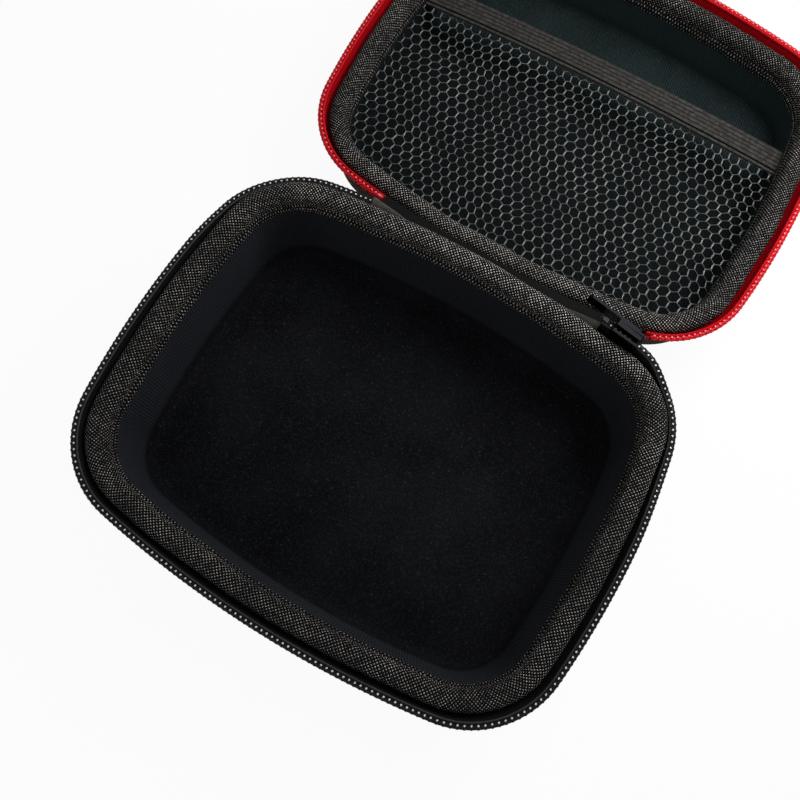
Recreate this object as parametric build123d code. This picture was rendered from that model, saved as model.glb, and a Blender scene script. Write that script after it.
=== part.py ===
from build123d import *
import os
from math import asin, atan2, ceil, cos, degrees, hypot, radians, sin, sqrt, tan

# Zipped clamshell storage case, lying open: a deep base in front and a lid with a net pocket behind,
# joined at the back by a fabric hinge and at the other sides by a zip.
# The origin is the middle of the base's underside, X runs along the hinge and Y from base to lid.

# Plan outline of both halves, measured at the outside of the lip: eight tangent arcs
CASE_LENGTH = 156.0
CASE_WIDTH = 126.0
LONG_SIDE_RADIUS = 335.0
SHORT_SIDE_RADIUS = 288.0
CORNER_RADIUS = 27.0

# Moulded halves, each standing on its own flat underside with the lip up
BASE_DEPTH = 41.0
LID_DEPTH = 28.5
WALL = 5.0
WALL_DRAFT = 3.0
BOTTOM_ROUND = 10.0
LINING = 0.6
BOND = 0.1

# Woven binding turned over the lip
BINDING = 0.65
BINDING_INSIDE = 8.5
BINDING_OUTSIDE = 5.0
LIP_ROUND = 3.0
FOAM_BEVEL = 2.0

# How the halves meet: lip to lip when lying open, and lip to lip when shut
HINGE_GAP = 6.35
LIP_GAP = 3.4

# Zip: tape sewn below the binding, flared out to a bead that carries the teeth
TAPE = 0.65
TAPE_SEWN = 7.0
FLARE_DROP = 2.4
CHAIN_REACH = 3.9
CHAIN_HEIGHT = 1.5
CHAIN_CLEARANCE = 0.3
BEAD = 0.9
SPINE = 0.45
TOOTH = 0.9
TOOTH_PITCH = 1.7
ZIP_LEFT_INSET = 38.5
LID_ZIP_ROOM = 1.75
TAPE_TAIL = 14.0

# Slider parked at the right end, with its pull, and the stop behind it
SLIDER_INSET = 28.5
SLIDER_LENGTH = 9.5
SLIDER_SPREAD = 0.6
SLIDER_PLATE = 0.75
SLIDER_FLANGE = 0.6
SLIDER_INNER_SHARE = 0.8
SLIDER_CLEARANCE = 0.3
WEDGE_LENGTH = 2.0
BRIDGE_LENGTH = 5.4
BRIDGE_WIDTH = 1.2
BRIDGE_BAR = 0.7
BRIDGE_HOLE = 1.0
STOP_LENGTH = 1.9
STOP_ROOM = 1.3
PULL_LENGTH = 16.0
PULL_WIDTH = 4.8
PULL_THICKNESS = 0.8
PULL_PIN_RADIUS = 0.3
PULL_ARM = 1.2
PULL_EYE = 3.0

# Fabric hinge between the zip's ends
STRIP = 0.8
STRIP_END_GAP = 0.9
STRIP_FOLD = 1.2

# Net pocket in the lid, and the elastic along its mouth
NET = 0.8
NET_DROP = 0.3
NET_DEPTH = 83.5
NET_CELL = 7.0
NET_WEB = 1.0
NET_BORDER = 2.0
ELASTIC_WIDTH = 8.0
ELASTIC = 1.5
ELASTIC_SEAM = 0.2

# Values that follow from those above
DRAFT = tan(radians(WALL_DRAFT))
FOAM_INSET = BINDING + BOND
LIP = WALL + 2 * FOAM_INSET
LINING_INSET = FOAM_INSET + WALL + BOND
CLEAR_INSET = LINING_INSET + LINING + BOND
FLOOR = WALL + BOND
LID_OFFSET = CASE_WIDTH + HINGE_GAP
CHAIN_TOP = LIP_GAP / 2 - CHAIN_CLEARANCE
TOOTH_ROOT = CHAIN_REACH - TOOTH
BEAD_OUTSIDE = TOOTH_ROOT - SPINE - BOND
BEAD_INSIDE = BEAD_OUTSIDE - BEAD
SLIDER_AT = CASE_LENGTH / 2 - SLIDER_INSET
SLIDER_MIDDLE = BASE_DEPTH + LIP_GAP / 2
SLIDER_OUTSIDE = CHAIN_REACH + SLIDER_CLEARANCE
SLIDER_ROOM = 2 * (CHAIN_CLEARANCE + CHAIN_HEIGHT + SLIDER_CLEARANCE)
SLIDER_TAIL = SLIDER_ROOM + 2 * SLIDER_FLANGE
SLIDER_MOUTH = SLIDER_TAIL + SLIDER_SPREAD
PULL_AXIS = SLIDER_OUTSIDE + SLIDER_PLATE + BRIDGE_HOLE / 2
ZIP_LEFT_END = ZIP_LEFT_INSET - CASE_LENGTH / 2
BASE_ZIP_RIGHT_END = SLIDER_AT - SLIDER_LENGTH / 2 - STOP_ROOM - STOP_LENGTH
LID_ZIP_RIGHT_END = SLIDER_AT + SLIDER_LENGTH / 2 + LID_ZIP_ROOM

LONG_CENTRE = CASE_WIDTH / 2 - LONG_SIDE_RADIUS
SHORT_CENTRE = CASE_LENGTH / 2 - SHORT_SIDE_RADIUS


def corner_centre():
    """Centre of the corner arc that is tangent to both side arcs."""
    along = LONG_SIDE_RADIUS - CORNER_RADIUS
    across = SHORT_SIDE_RADIUS - CORNER_RADIUS
    apart = hypot(SHORT_CENTRE, LONG_CENTRE)
    foot = (along**2 - across**2 + apart**2) / (2 * apart)
    rise = sqrt(along**2 - foot**2)
    step_x, step_y = SHORT_CENTRE / apart, -LONG_CENTRE / apart
    return foot * step_x + rise * step_y, LONG_CENTRE + foot * step_y - rise * step_x


CORNER_X, CORNER_Y = corner_centre()
LONG_TURN = atan2(CORNER_X, CORNER_Y - LONG_CENTRE)
SHORT_TURN = atan2(CORNER_Y, CORNER_X - SHORT_CENTRE)
CORNER_TURN = radians(90) - LONG_TURN - SHORT_TURN


def quarter_arcs():
    """Centre, radius, start bearing and turn of the arcs from the back's middle to the right's."""
    return [
        (0, LONG_CENTRE, LONG_SIDE_RADIUS, 0, LONG_TURN),
        (CORNER_X, CORNER_Y, CORNER_RADIUS, LONG_TURN, CORNER_TURN),
        (SHORT_CENTRE, 0, SHORT_SIDE_RADIUS, LONG_TURN + CORNER_TURN, SHORT_TURN),
    ]


def rim_point(quarter_step, grow):
    """Point a distance along the first quarter of the rim, moved outward by grow."""
    for centre_x, centre_y, radius, start, turn in quarter_arcs():
        length = radius * turn
        if quarter_step <= length + 1e-9:
            bearing = start + quarter_step / radius
            reach = radius + grow
            return centre_x + reach * sin(bearing), centre_y + reach * cos(bearing)
        quarter_step -= length


def back_edge(x, grow=0):
    """Distance of the rim's back edge from the middle at a place along the hinge."""
    radius = LONG_SIDE_RADIUS + grow
    return LONG_CENTRE + sqrt(radius**2 - x**2)


def outline(grow):
    """Plan face of a half, its edge moved outward from the lip by grow."""
    half_length, half_width = CASE_LENGTH / 2 + grow, CASE_WIDTH / 2 + grow
    long_end = LONG_SIDE_RADIUS * LONG_TURN
    corner_end = long_end + CORNER_RADIUS * CORNER_TURN
    x1, y1 = rim_point(long_end, grow)
    x2, y2 = rim_point((long_end + corner_end) / 2, grow)
    x3, y3 = rim_point(corner_end, grow)
    arcs = [
        ThreePointArc((x1, y1), (0, half_width), (-x1, y1)),
        ThreePointArc((-x1, y1), (-x2, y2), (-x3, y3)),
        ThreePointArc((-x3, y3), (-half_length, 0), (-x3, -y3)),
        ThreePointArc((-x3, -y3), (-x2, -y2), (-x1, -y1)),
        ThreePointArc((-x1, -y1), (0, -half_width), (x1, -y1)),
        ThreePointArc((x1, -y1), (x2, -y2), (x3, -y3)),
        ThreePointArc((x3, -y3), (half_length, 0), (x3, y3)),
        ThreePointArc((x3, y3), (x2, y2), (x1, y1)),
    ]
    return make_face(arcs)


def raised(face, height, low=0):
    """Plan face raised to a plate that stands on a height."""
    return Pos(0, 0, low) * extrude(face, height, dir=(0, 0, 1))


def tapered(grow, high, low, taper, round_below=0):
    """Solid between two heights that draws in by the taper from high down to low."""
    body = Pos(0, 0, high) * extrude(outline(grow), high - low, dir=(0, 0, -1), taper=taper)
    if round_below:
        body = fillet(body.edges().group_by(Axis.Z)[0], round_below)
    return body


def plug(inset, high, low, depth, round_below=0):
    """Solid inside a half's drafted wall; inset is measured from the lip outline."""
    return tapered(-inset - (depth - high) * DRAFT, high, low, WALL_DRAFT, round_below)


def shell(depth):
    """Moulded foam tray with its woven outside, bevelled where the binding turns over it."""
    top = depth - FOAM_INSET
    inner_round = max(BOTTOM_ROUND - WALL, LINING)
    body = plug(FOAM_INSET, top, 0, depth, BOTTOM_ROUND)
    body -= plug(FOAM_INSET + WALL, top, WALL, depth, inner_round)
    return chamfer(body.edges().group_by(Axis.Z)[-1], FOAM_BEVEL)


def lining(depth):
    """Knit lining on the floor and wall, up to the edge of the binding."""
    top = depth - BINDING_INSIDE - BOND
    outer_round = max(BOTTOM_ROUND - WALL, LINING) - BOND
    body = plug(LINING_INSET, top, FLOOR, depth, outer_round)
    return body - plug(LINING_INSET + LINING, top, FLOOR + LINING, depth, outer_round - LINING)


def lip_binding(depth):
    """Woven band rolled over the lip, longer inside than outside."""
    low = depth - BINDING_INSIDE
    body = plug(0, depth, low, depth) - plug(LIP, depth, low, depth)
    body = fillet(body.edges().group_by(Axis.Z)[-1], LIP_ROUND)
    core = plug(BINDING, depth - BINDING, low, depth)
    core -= plug(LIP - BINDING, depth - BINDING, low, depth)
    body -= chamfer(core.edges().group_by(Axis.Z)[-1], FOAM_BEVEL)
    hem = depth - BINDING_OUTSIDE
    return body - (plug(-BINDING, hem, low, depth) - plug(LIP / 2, hem, low, depth))


def zip_window(right_end, depth, back):
    """Block that takes the zip away along the hinge; back is the side that the hinge is on."""
    width = right_end - ZIP_LEFT_END
    block = Box(width, CASE_WIDTH, 2 * depth, align=(Align.MIN, Align.MIN, Align.CENTER))
    corner = Pos(ZIP_LEFT_END, 0, depth)
    return corner * block if back > 0 else Pos(0, -CASE_WIDTH, 0) * corner * block


def tape_tail(end, step, seam):
    """Wedge over the hinge that narrows from a zip's end to the lip, one step away along the hinge."""
    tip = end + step
    corners = [(end, 0), (end, back_edge(end, BEAD_OUTSIDE)), (tip, back_edge(tip)), (tip, 0)]
    return raised(make_face(Polyline(*corners, close=True)), BASE_DEPTH, seam + BOND)


def zip_tape(depth, right_end, back, tails=False):
    """Tape sewn to the wall below the binding, flared out to a bead; its bare tails pass the zip's ends."""
    seam = depth - BINDING_OUTSIDE - BOND
    sewn_low = seam - TAPE_SEWN
    chain_low = depth + CHAIN_TOP - CHAIN_HEIGHT
    flare_low = seam - FLARE_DROP
    drop = (depth - flare_low) * DRAFT
    angle = degrees(atan2(BEAD_OUTSIDE + drop, chain_low - flare_low))
    flare = tapered(BEAD_OUTSIDE, chain_low, flare_low, angle)
    flare -= tapered(BEAD_OUTSIDE - TAPE, chain_low, flare_low, angle)
    tape = plug(BINDING - TAPE, seam, sewn_low, depth) - plug(BINDING, seam, sewn_low, depth) + flare
    tape += raised(outline(BEAD_OUTSIDE) - outline(BEAD_INSIDE), CHAIN_HEIGHT, chain_low)
    tape -= zip_window(right_end, depth, back)
    if tails:
        tape += flare & tape_tail(ZIP_LEFT_END, TAPE_TAIL, seam)
        tape += flare & tape_tail(right_end, -TAPE_TAIL, seam)
    return tape


def zip_teeth(depth, right_end, back):
    """Row of teeth on a thin spine, seated on the bead's outside."""
    quarter = sum(radius * turn for _, _, radius, _, turn in quarter_arcs())
    teeth = ceil(quarter / TOOTH_PITCH)
    step = quarter / (2 * teeth)
    grows = [CHAIN_REACH if i % 2 else TOOTH_ROOT for i in range(2 * teeth)]
    first = [rim_point(i * step, grow) for i, grow in enumerate(grows)]
    second = [rim_point(quarter - i * step, grow) for i, grow in enumerate(grows)]
    points = first + [(x, -y) for x, y in second]
    points += [(-x, -y) for x, y in first] + [(-x, y) for x, y in second]
    row = make_face(Polyline(*points, close=True)) - outline(TOOTH_ROOT - SPINE)
    low = depth + CHAIN_TOP - CHAIN_HEIGHT
    return raised(row, CHAIN_HEIGHT, low) - zip_window(right_end + STOP_LENGTH, depth, back)


def chain_place():
    """Frame at the parked slider: x along the zip, y outward from the lip, z up from its middle."""
    bearing = asin(SLIDER_AT / LONG_SIDE_RADIUS)
    middle = (SLIDER_AT, back_edge(SLIDER_AT), SLIDER_MIDDLE)
    return Plane(middle, (cos(bearing), -sin(bearing), 0), (0, 0, 1))


def slab(x, y, z):
    """Box given by its extents along each axis."""
    size = [high - low for low, high in (x, y, z)]
    return Pos(x[0], y[0], z[0]) * Box(*size, align=(Align.MIN, Align.MIN, Align.MIN))


def slider_plate(share, inside):
    """One plate of the slider, wide at the mouth and narrow at the tail, with rounded corners."""
    tail, mouth = share * SLIDER_TAIL / 2, share * SLIDER_MOUTH / 2
    half = SLIDER_LENGTH / 2
    corners = [(-half, -tail), (half, -mouth), (half, mouth), (-half, tail)]
    face = make_face(Polyline(*corners, close=True))
    face = fillet(face.vertices(), SLIDER_FLANGE)
    return Pos(0, inside, 0) * extrude(Plane.XZ * face, -SLIDER_PLATE)


def zip_slider():
    """Slider body: two plates joined by a wedge, flanges round the teeth and a bridge for the pull."""
    inside = BEAD_INSIDE - SLIDER_CLEARANCE
    outside = SLIDER_OUTSIDE
    face = outside + SLIDER_PLATE
    half = SLIDER_LENGTH / 2
    middle = (inside + outside) / 2
    body = slider_plate(SLIDER_INNER_SHARE, inside - SLIDER_PLATE) + slider_plate(1, outside)
    gap = CHAIN_CLEARANCE - BOND
    wedge_end = half - SLIDER_FLANGE
    body += slab((wedge_end - WEDGE_LENGTH, wedge_end), (inside, outside), (-gap, CHAIN_HEIGHT / 2))
    for side in (-1, 1):
        low, high = sorted((side * SLIDER_ROOM / 2, side * SLIDER_TAIL / 2))
        body += slab((-half + SLIDER_FLANGE, half - SLIDER_FLANGE), (middle, outside), (low, high))
    arch = face + BRIDGE_HOLE + BRIDGE_BAR
    reach, wide = BRIDGE_LENGTH / 2, BRIDGE_WIDTH / 2
    bridge = slab((-reach, reach), (face, arch), (-wide, wide))
    bridge -= slab((BRIDGE_BAR - reach, reach - BRIDGE_BAR), (face, face + BRIDGE_HOLE), (-wide, wide))
    return chain_place() * (body + bridge)


def zip_pull():
    """Pull tab folded back along the zip, its pin held under the slider's bridge."""
    wide = PULL_WIDTH / 2
    half = PULL_THICKNESS / 2
    eye_end = -PULL_EYE
    tab = slab((-PULL_LENGTH, PULL_PIN_RADIUS), (-half, half), (-wide, wide))
    tab = fillet(tab.edges().filter_by(Axis.Y).group_by(Axis.X)[0], wide / 2)
    tab -= slab((eye_end, PULL_PIN_RADIUS), (-half, half), (PULL_ARM - wide, wide - PULL_ARM))
    tab += Cylinder(PULL_PIN_RADIUS, PULL_WIDTH)
    return chain_place() * Pos(0, PULL_AXIS, 0) * tab


def zip_bottom_stop():
    """Moulded stop at the end of the teeth, seated on the bead, that keeps the slider on."""
    low = BASE_DEPTH + CHAIN_TOP - CHAIN_HEIGHT
    ring = raised(outline(CHAIN_REACH) - outline(BEAD_OUTSIDE + BOND), CHAIN_HEIGHT, low)
    start = BASE_ZIP_RIGHT_END
    return ring & slab((start, start + STOP_LENGTH - BOND), (0, CASE_WIDTH), (low, low + CHAIN_HEIGHT))


def strip_turn(centre, radius, first, last):
    """Arc about a centre in the hinge's section, between two bearings in radians."""
    bearings = (first, (first + last) / 2, last)
    return ThreePointArc(*[(centre[0] + radius * cos(a), centre[1] + radius * sin(a)) for a in bearings])


def strip_section(x):
    """Section of the fabric hinge: up the base's wall, over a fold, across and down the lid's wall."""
    base_seam = BASE_DEPTH - BINDING_OUTSIDE - BOND
    lid_seam = LID_DEPTH - BINDING_OUTSIDE - BOND
    wall = back_edge(x) - FOAM_INSET - (BASE_DEPTH - base_seam) * DRAFT + BOND
    far = LID_OFFSET - wall
    middle = STRIP_FOLD + STRIP / 2
    fold = (wall + middle, base_seam - middle)
    turn = (far - middle, lid_seam - 2 * STRIP_FOLD)
    slope = atan2(turn[0] - fold[0], fold[1] - turn[1])
    sides = []
    for radius in (STRIP_FOLD + STRIP / 2, STRIP_FOLD - STRIP / 2):
        over = strip_turn(fold, radius, radians(180), slope)
        down = strip_turn(turn, radius, slope, 0)
        foot = (fold[0] - radius, base_seam - TAPE_SEWN)
        toe = (turn[0] + radius, lid_seam - TAPE_SEWN)
        sides.append([Line(foot, over @ 0), over, Line(over @ 1, down @ 0), down, Line(down @ 1, toe)])
    outer, inner = sides
    ends = [Line(outer[-1] @ 1, inner[-1] @ 1), Line(inner[0] @ 0, outer[0] @ 0)]
    return Plane((x, 0, 0), (0, 1, 0), (1, 0, 0)) * make_face(outer + inner + ends)


def hinge_strip():
    """Fabric hinge across the gap between the halves, bowed like their backs."""
    left = ZIP_LEFT_END + STRIP_END_GAP
    right = BASE_ZIP_RIGHT_END - STRIP_END_GAP
    return loft([strip_section(x) for x in (left, (left + right) / 2, right)])


def pocket_level():
    """Height of the net's upper face in the lid, and its edge's inset from the lip outline."""
    top = LID_DEPTH - BINDING_INSIDE - NET_DROP
    return top, CLEAR_INSET + (LID_DEPTH - top + ELASTIC) * DRAFT


def pocket_net():
    """Net sewn in under the lid's binding on three sides: one face with hexagonal gaps."""
    top, inset = pocket_level()
    mouth = NET_DEPTH - CASE_WIDTH / 2
    panel = outline(-inset) & Pos(0, mouth - CASE_WIDTH / 2) * Rectangle(CASE_LENGTH, CASE_WIDTH)
    hexagon_radius = (NET_CELL - NET_WEB) / sqrt(3)
    room = outline(-inset - NET_BORDER - hexagon_radius).face()
    columns = ceil(CASE_LENGTH / NET_CELL)
    rows = ceil(CASE_WIDTH / NET_CELL)
    gaps = []
    for spot in HexLocations(NET_CELL / 2, columns, rows):
        place = spot.position
        fits = place.Y < mouth - NET_BORDER - hexagon_radius and room.is_inside(place)
        if fits:
            gaps.append(spot * RegularPolygon(hexagon_radius, 6, rotation=30))
    holed = Face(panel.face().outer_wire(), [gap.face().outer_wire() for gap in gaps])
    return raised(holed, NET, top - NET)


def pocket_elastic():
    """Elastic band along the net's mouth, from one side wall to the other."""
    top, inset = pocket_level()
    start = NET_DEPTH - CASE_WIDTH / 2 + ELASTIC_SEAM
    band = Pos(0, start + ELASTIC_WIDTH / 2) * Rectangle(CASE_LENGTH, ELASTIC_WIDTH)
    return raised(outline(-inset) & band, ELASTIC, top - ELASTIC)


def build():
    """All pieces by name, in the open position."""
    lid_place = Pos(0, LID_OFFSET, 0)
    pieces = {
        "base_shell": shell(BASE_DEPTH),
        "base_lining": lining(BASE_DEPTH),
        "base_lip_binding": lip_binding(BASE_DEPTH),
        "base_zip_tape": zip_tape(BASE_DEPTH, BASE_ZIP_RIGHT_END, 1, tails=True),
        "base_zip_teeth": zip_teeth(BASE_DEPTH, BASE_ZIP_RIGHT_END, 1),
        "zip_bottom_stop": zip_bottom_stop(),
        "zip_slider": zip_slider(),
        "zip_pull": zip_pull(),
        "hinge_strip": hinge_strip(),
    }
    lid = {
        "lid_shell": shell(LID_DEPTH),
        "lid_lining": lining(LID_DEPTH),
        "lid_lip_binding": lip_binding(LID_DEPTH),
        "lid_zip_tape": zip_tape(LID_DEPTH, LID_ZIP_RIGHT_END, -1),
        "lid_zip_teeth": zip_teeth(LID_DEPTH, LID_ZIP_RIGHT_END, -1),
        "pocket_net": pocket_net(),
        "pocket_elastic": pocket_elastic(),
    }
    pieces.update({name: lid_place * piece for name, piece in lid.items()})
    return pieces


os.makedirs("parts", exist_ok=True)
for name, piece in build().items():
    export_step(piece, f"parts/{name}.step")
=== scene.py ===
"""Looks of a zipped hard-shell storage case that lies open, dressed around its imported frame."""

import logging
import math
from dataclasses import dataclass
from enum import Enum, IntEnum
from functools import cache

import bmesh
import bpy
import numpy as np
from mathutils import Matrix, Vector


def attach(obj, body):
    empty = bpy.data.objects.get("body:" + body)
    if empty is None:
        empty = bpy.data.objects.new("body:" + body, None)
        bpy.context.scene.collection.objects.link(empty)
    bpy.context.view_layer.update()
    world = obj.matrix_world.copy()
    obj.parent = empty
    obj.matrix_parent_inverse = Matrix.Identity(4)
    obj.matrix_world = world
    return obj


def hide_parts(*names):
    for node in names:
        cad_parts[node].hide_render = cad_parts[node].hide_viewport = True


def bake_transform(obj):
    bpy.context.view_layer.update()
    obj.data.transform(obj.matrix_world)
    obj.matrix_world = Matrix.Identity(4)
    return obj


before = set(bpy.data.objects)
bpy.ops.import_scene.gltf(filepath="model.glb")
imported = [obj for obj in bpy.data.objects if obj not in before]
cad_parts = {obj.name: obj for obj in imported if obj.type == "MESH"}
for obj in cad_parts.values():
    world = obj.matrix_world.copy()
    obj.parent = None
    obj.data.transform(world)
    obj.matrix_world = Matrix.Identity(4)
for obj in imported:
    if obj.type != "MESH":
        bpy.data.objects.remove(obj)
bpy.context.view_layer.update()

LOG = logging.getLogger("storage_case")
MM = 0.001
DRAFT = math.tan(math.radians(3.0))
WELD = 1e-6
Triple = tuple[float, float, float]


class Hinged(Enum):
    """Side of a half that its hinge is on, as the sign of y there."""

    BEHIND = 1
    AHEAD = -1


class TapeFinish(IntEnum):
    """Index of each finish on a half's tape."""

    TAPE = 0
    TAIL = 1
    # The third finish is a pale line along the bead, a painted highlight.
    BEAD_HIGHLIGHT = 2


@dataclass
class Patch:
    """A run of faces in the making.

    points are the places, corners the point of each face corner in turn, sizes each face's corner count,
    chart the map place of each corner in metres, and finish the material index of each face.
    """

    points: np.ndarray
    corners: np.ndarray
    sizes: np.ndarray
    chart: np.ndarray
    finish: np.ndarray

    @staticmethod
    def grid(points: np.ndarray, chart: np.ndarray, wrap_u: bool = False, wrap_v: bool = False) -> "Patch":
        """Quads of a grid: face (r, c) joins points (r, c), (r+1, c), (r+1, c+1) and (r, c+1).

        Args:
            points: places, rows by columns by 3.
            chart: map places, with one row or column more where the grid wraps.
            wrap_u: whether the last row joins the first.
            wrap_v: whether the last column joins the first.

        Returns:
            The patch, facing row direction cross column direction.
        """
        rows, cols = points.shape[:2]
        r, c = np.meshgrid(np.arange(rows - (not wrap_u)), np.arange(cols - (not wrap_v)), indexing="ij")
        turns = ((r, c), (r + 1, c), (r + 1, c + 1), (r, c + 1))
        corners = np.stack([(a % rows) * cols + b % cols for a, b in turns], -1).reshape(-1)
        places = np.stack([chart[a, b] for a, b in turns], -2).reshape(-1, 2)
        return Patch(points.reshape(-1, 3), corners, np.full(r.size, 4), places, np.zeros(r.size, int))

    @staticmethod
    def cap(loop: np.ndarray) -> "Patch":
        """One flat face of all the points of a loop, facing by the loop's turn.

        Args:
            loop: places round the loop, n by 3.

        Returns:
            The patch.
        """
        count = len(loop)
        return Patch(loop, np.arange(count), np.array([count]), loop[:, :2], np.zeros(1, int))

    @staticmethod
    def tube(points: np.ndarray, chart: np.ndarray) -> "Patch":
        """A closed section carried along a line, with a flat face at either end.

        Args:
            points: places, sections by points by 3.
            chart: map places, with one column more.

        Returns:
            The closed patch.
        """
        body = Patch.grid(points, chart, wrap_v=True)
        return Patch.join([body, Patch.cap(points[0]).flipped(), Patch.cap(points[-1])])

    @staticmethod
    def join(patches: list["Patch"]) -> "Patch":
        """One patch of several, each one's corners counted on from the last one's points.

        Args:
            patches: the patches.

        Returns:
            The joined patch.
        """
        starts = np.cumsum([0] + [len(p.points) for p in patches[:-1]])
        return Patch(
            np.concatenate([p.points for p in patches]),
            np.concatenate([p.corners + start for p, start in zip(patches, starts)]),
            np.concatenate([p.sizes for p in patches]),
            np.concatenate([p.chart for p in patches]),
            np.concatenate([p.finish for p in patches]),
        )

    @staticmethod
    def scatter(unit: "Patch", places: np.ndarray, axes: np.ndarray) -> "Patch":
        """Copies of a small shape: each point is place + x * axis 0 + y * axis 1 + z * axis 2.

        Args:
            unit: the shape about its own middle.
            places: where the copies go, n by 3.
            axes: the copies' three axes, n by 3 by 3.

        Returns:
            All the copies as one patch.
        """
        count, size = len(places), len(unit.points)
        points = places[:, None] + np.einsum("kj,njc->nkc", unit.points, axes)
        corners = unit.corners[None] + size * np.arange(count)[:, None]
        return Patch(
            points.reshape(-1, 3),
            corners.reshape(-1),
            np.tile(unit.sizes, count),
            np.tile(unit.chart, (count, 1)),
            np.tile(unit.finish, count),
        )

    def dressed(self, index: int) -> "Patch":
        """The same patch with another material index."""
        return Patch(self.points, self.corners, self.sizes, self.chart, np.full_like(self.finish, index))

    def flipped(self) -> "Patch":
        """The same patch facing the other way, each face's corners in reverse order.

        Returns:
            The turned patch.
        """
        order = np.arange(len(self.corners))
        starts = np.repeat(np.cumsum(self.sizes) - self.sizes, self.sizes)
        ends = np.repeat(np.cumsum(self.sizes) - 1, self.sizes)
        back = starts + ends - order
        return Patch(self.points, self.corners[back], self.sizes, self.chart[back], self.finish)

    def piece(self, name: str, finishes: list["Finish"], crease: float = 50.0) -> bpy.types.Object:
        """A mesh object at the origin: doubled points merged, corners over the crease angle kept sharp.

        Args:
            name: the piece's name.
            finishes: its finishes, in index order.
            crease: largest angle in degrees that is shaded smooth.

        Returns:
            The object, linked into the scene.
        """
        mesh = bpy.data.meshes.new(name)
        mesh.vertices.add(len(self.points))
        mesh.vertices.foreach_set("co", self.points.astype(np.float32).ravel())
        mesh.loops.add(len(self.corners))
        mesh.loops.foreach_set("vertex_index", self.corners.astype(np.int32))
        mesh.polygons.add(len(self.sizes))
        mesh.polygons.foreach_set("loop_start", (np.cumsum(self.sizes) - self.sizes).astype(np.int32))
        mesh.polygons.foreach_set("material_index", self.finish.astype(np.int32))
        mesh.polygons.foreach_set("use_smooth", np.ones(len(self.sizes), bool))
        mesh.uv_layers.new(name="chart").data.foreach_set("uv", self.chart.astype(np.float32).ravel())
        mesh.update(calc_edges=True)
        for finish in finishes:
            mesh.materials.append(finish.material())
        weld = bmesh.new()
        weld.from_mesh(mesh)
        bmesh.ops.remove_doubles(weld, verts=weld.verts, dist=WELD)
        weld.to_mesh(mesh)
        weld.free()
        mesh.validate()
        mesh.set_sharp_from_angle(angle=math.radians(crease))
        made = bpy.data.objects.new(name, mesh)
        bpy.context.scene.collection.objects.link(made)
        LOG.info("%s: %d faces", name, len(mesh.polygons))
        return made


def net_of(u: np.ndarray, v: np.ndarray) -> np.ndarray:
    """Map places of a grid from its row values u and column values v."""
    return np.stack(np.meshgrid(u, v, indexing="ij"), -1)


def smooth(share: np.ndarray) -> np.ndarray:
    """Smooth step: 3 s^2 - 2 s^3 of a share s from 0 to 1."""
    return share * share * (3 - 2 * share)


def arc(middle: tuple[float, float], radius: float, first: float, last: float, count: int) -> np.ndarray:
    """Points of a section's arc: middle + radius * (cos a, sin a), a from first to last.

    Args:
        middle: the arc's centre.
        radius: its radius.
        first: first bearing in degrees.
        last: last bearing in degrees.
        count: how many points.

    Returns:
        The points, count by 2.
    """
    a = np.radians(np.linspace(first, last, count))
    return np.asarray(middle) + radius * np.stack([np.cos(a), np.sin(a)], -1)


def lengths(points: np.ndarray, closed: bool = False) -> np.ndarray:
    """Distance along a line to each of its points, and to its start again where it is closed.

    Args:
        points: the line's points.
        closed: whether it comes back to its start.

    Returns:
        The distances, the first of them 0.
    """
    line = np.vstack([points, points[:1]]) if closed else points
    return np.concatenate([[0.0], np.cumsum(np.linalg.norm(np.diff(line, axis=0), axis=1))])


def ripple(along: np.ndarray, period: float, waves: tuple[int, int], size: float, seed: int) -> np.ndarray:
    """Soft unevenness: a sum of sines with whole waves in the period, seeded phases and even weights.

    Args:
        along: distance along the path.
        period: the path's whole length.
        waves: fewest and most waves in it.
        size: root mean square of the sum.
        seed: seed of the phases.

    Returns:
        The offsets.
    """
    draw = np.random.default_rng(seed)
    counts = np.arange(*waves)
    phases = draw.uniform(0, 2 * math.pi, len(counts))
    total = np.sin(2 * math.pi * np.multiply.outer(along / period, counts) + phases).sum(-1)
    return size * total * math.sqrt(2.0 / len(counts))


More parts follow.
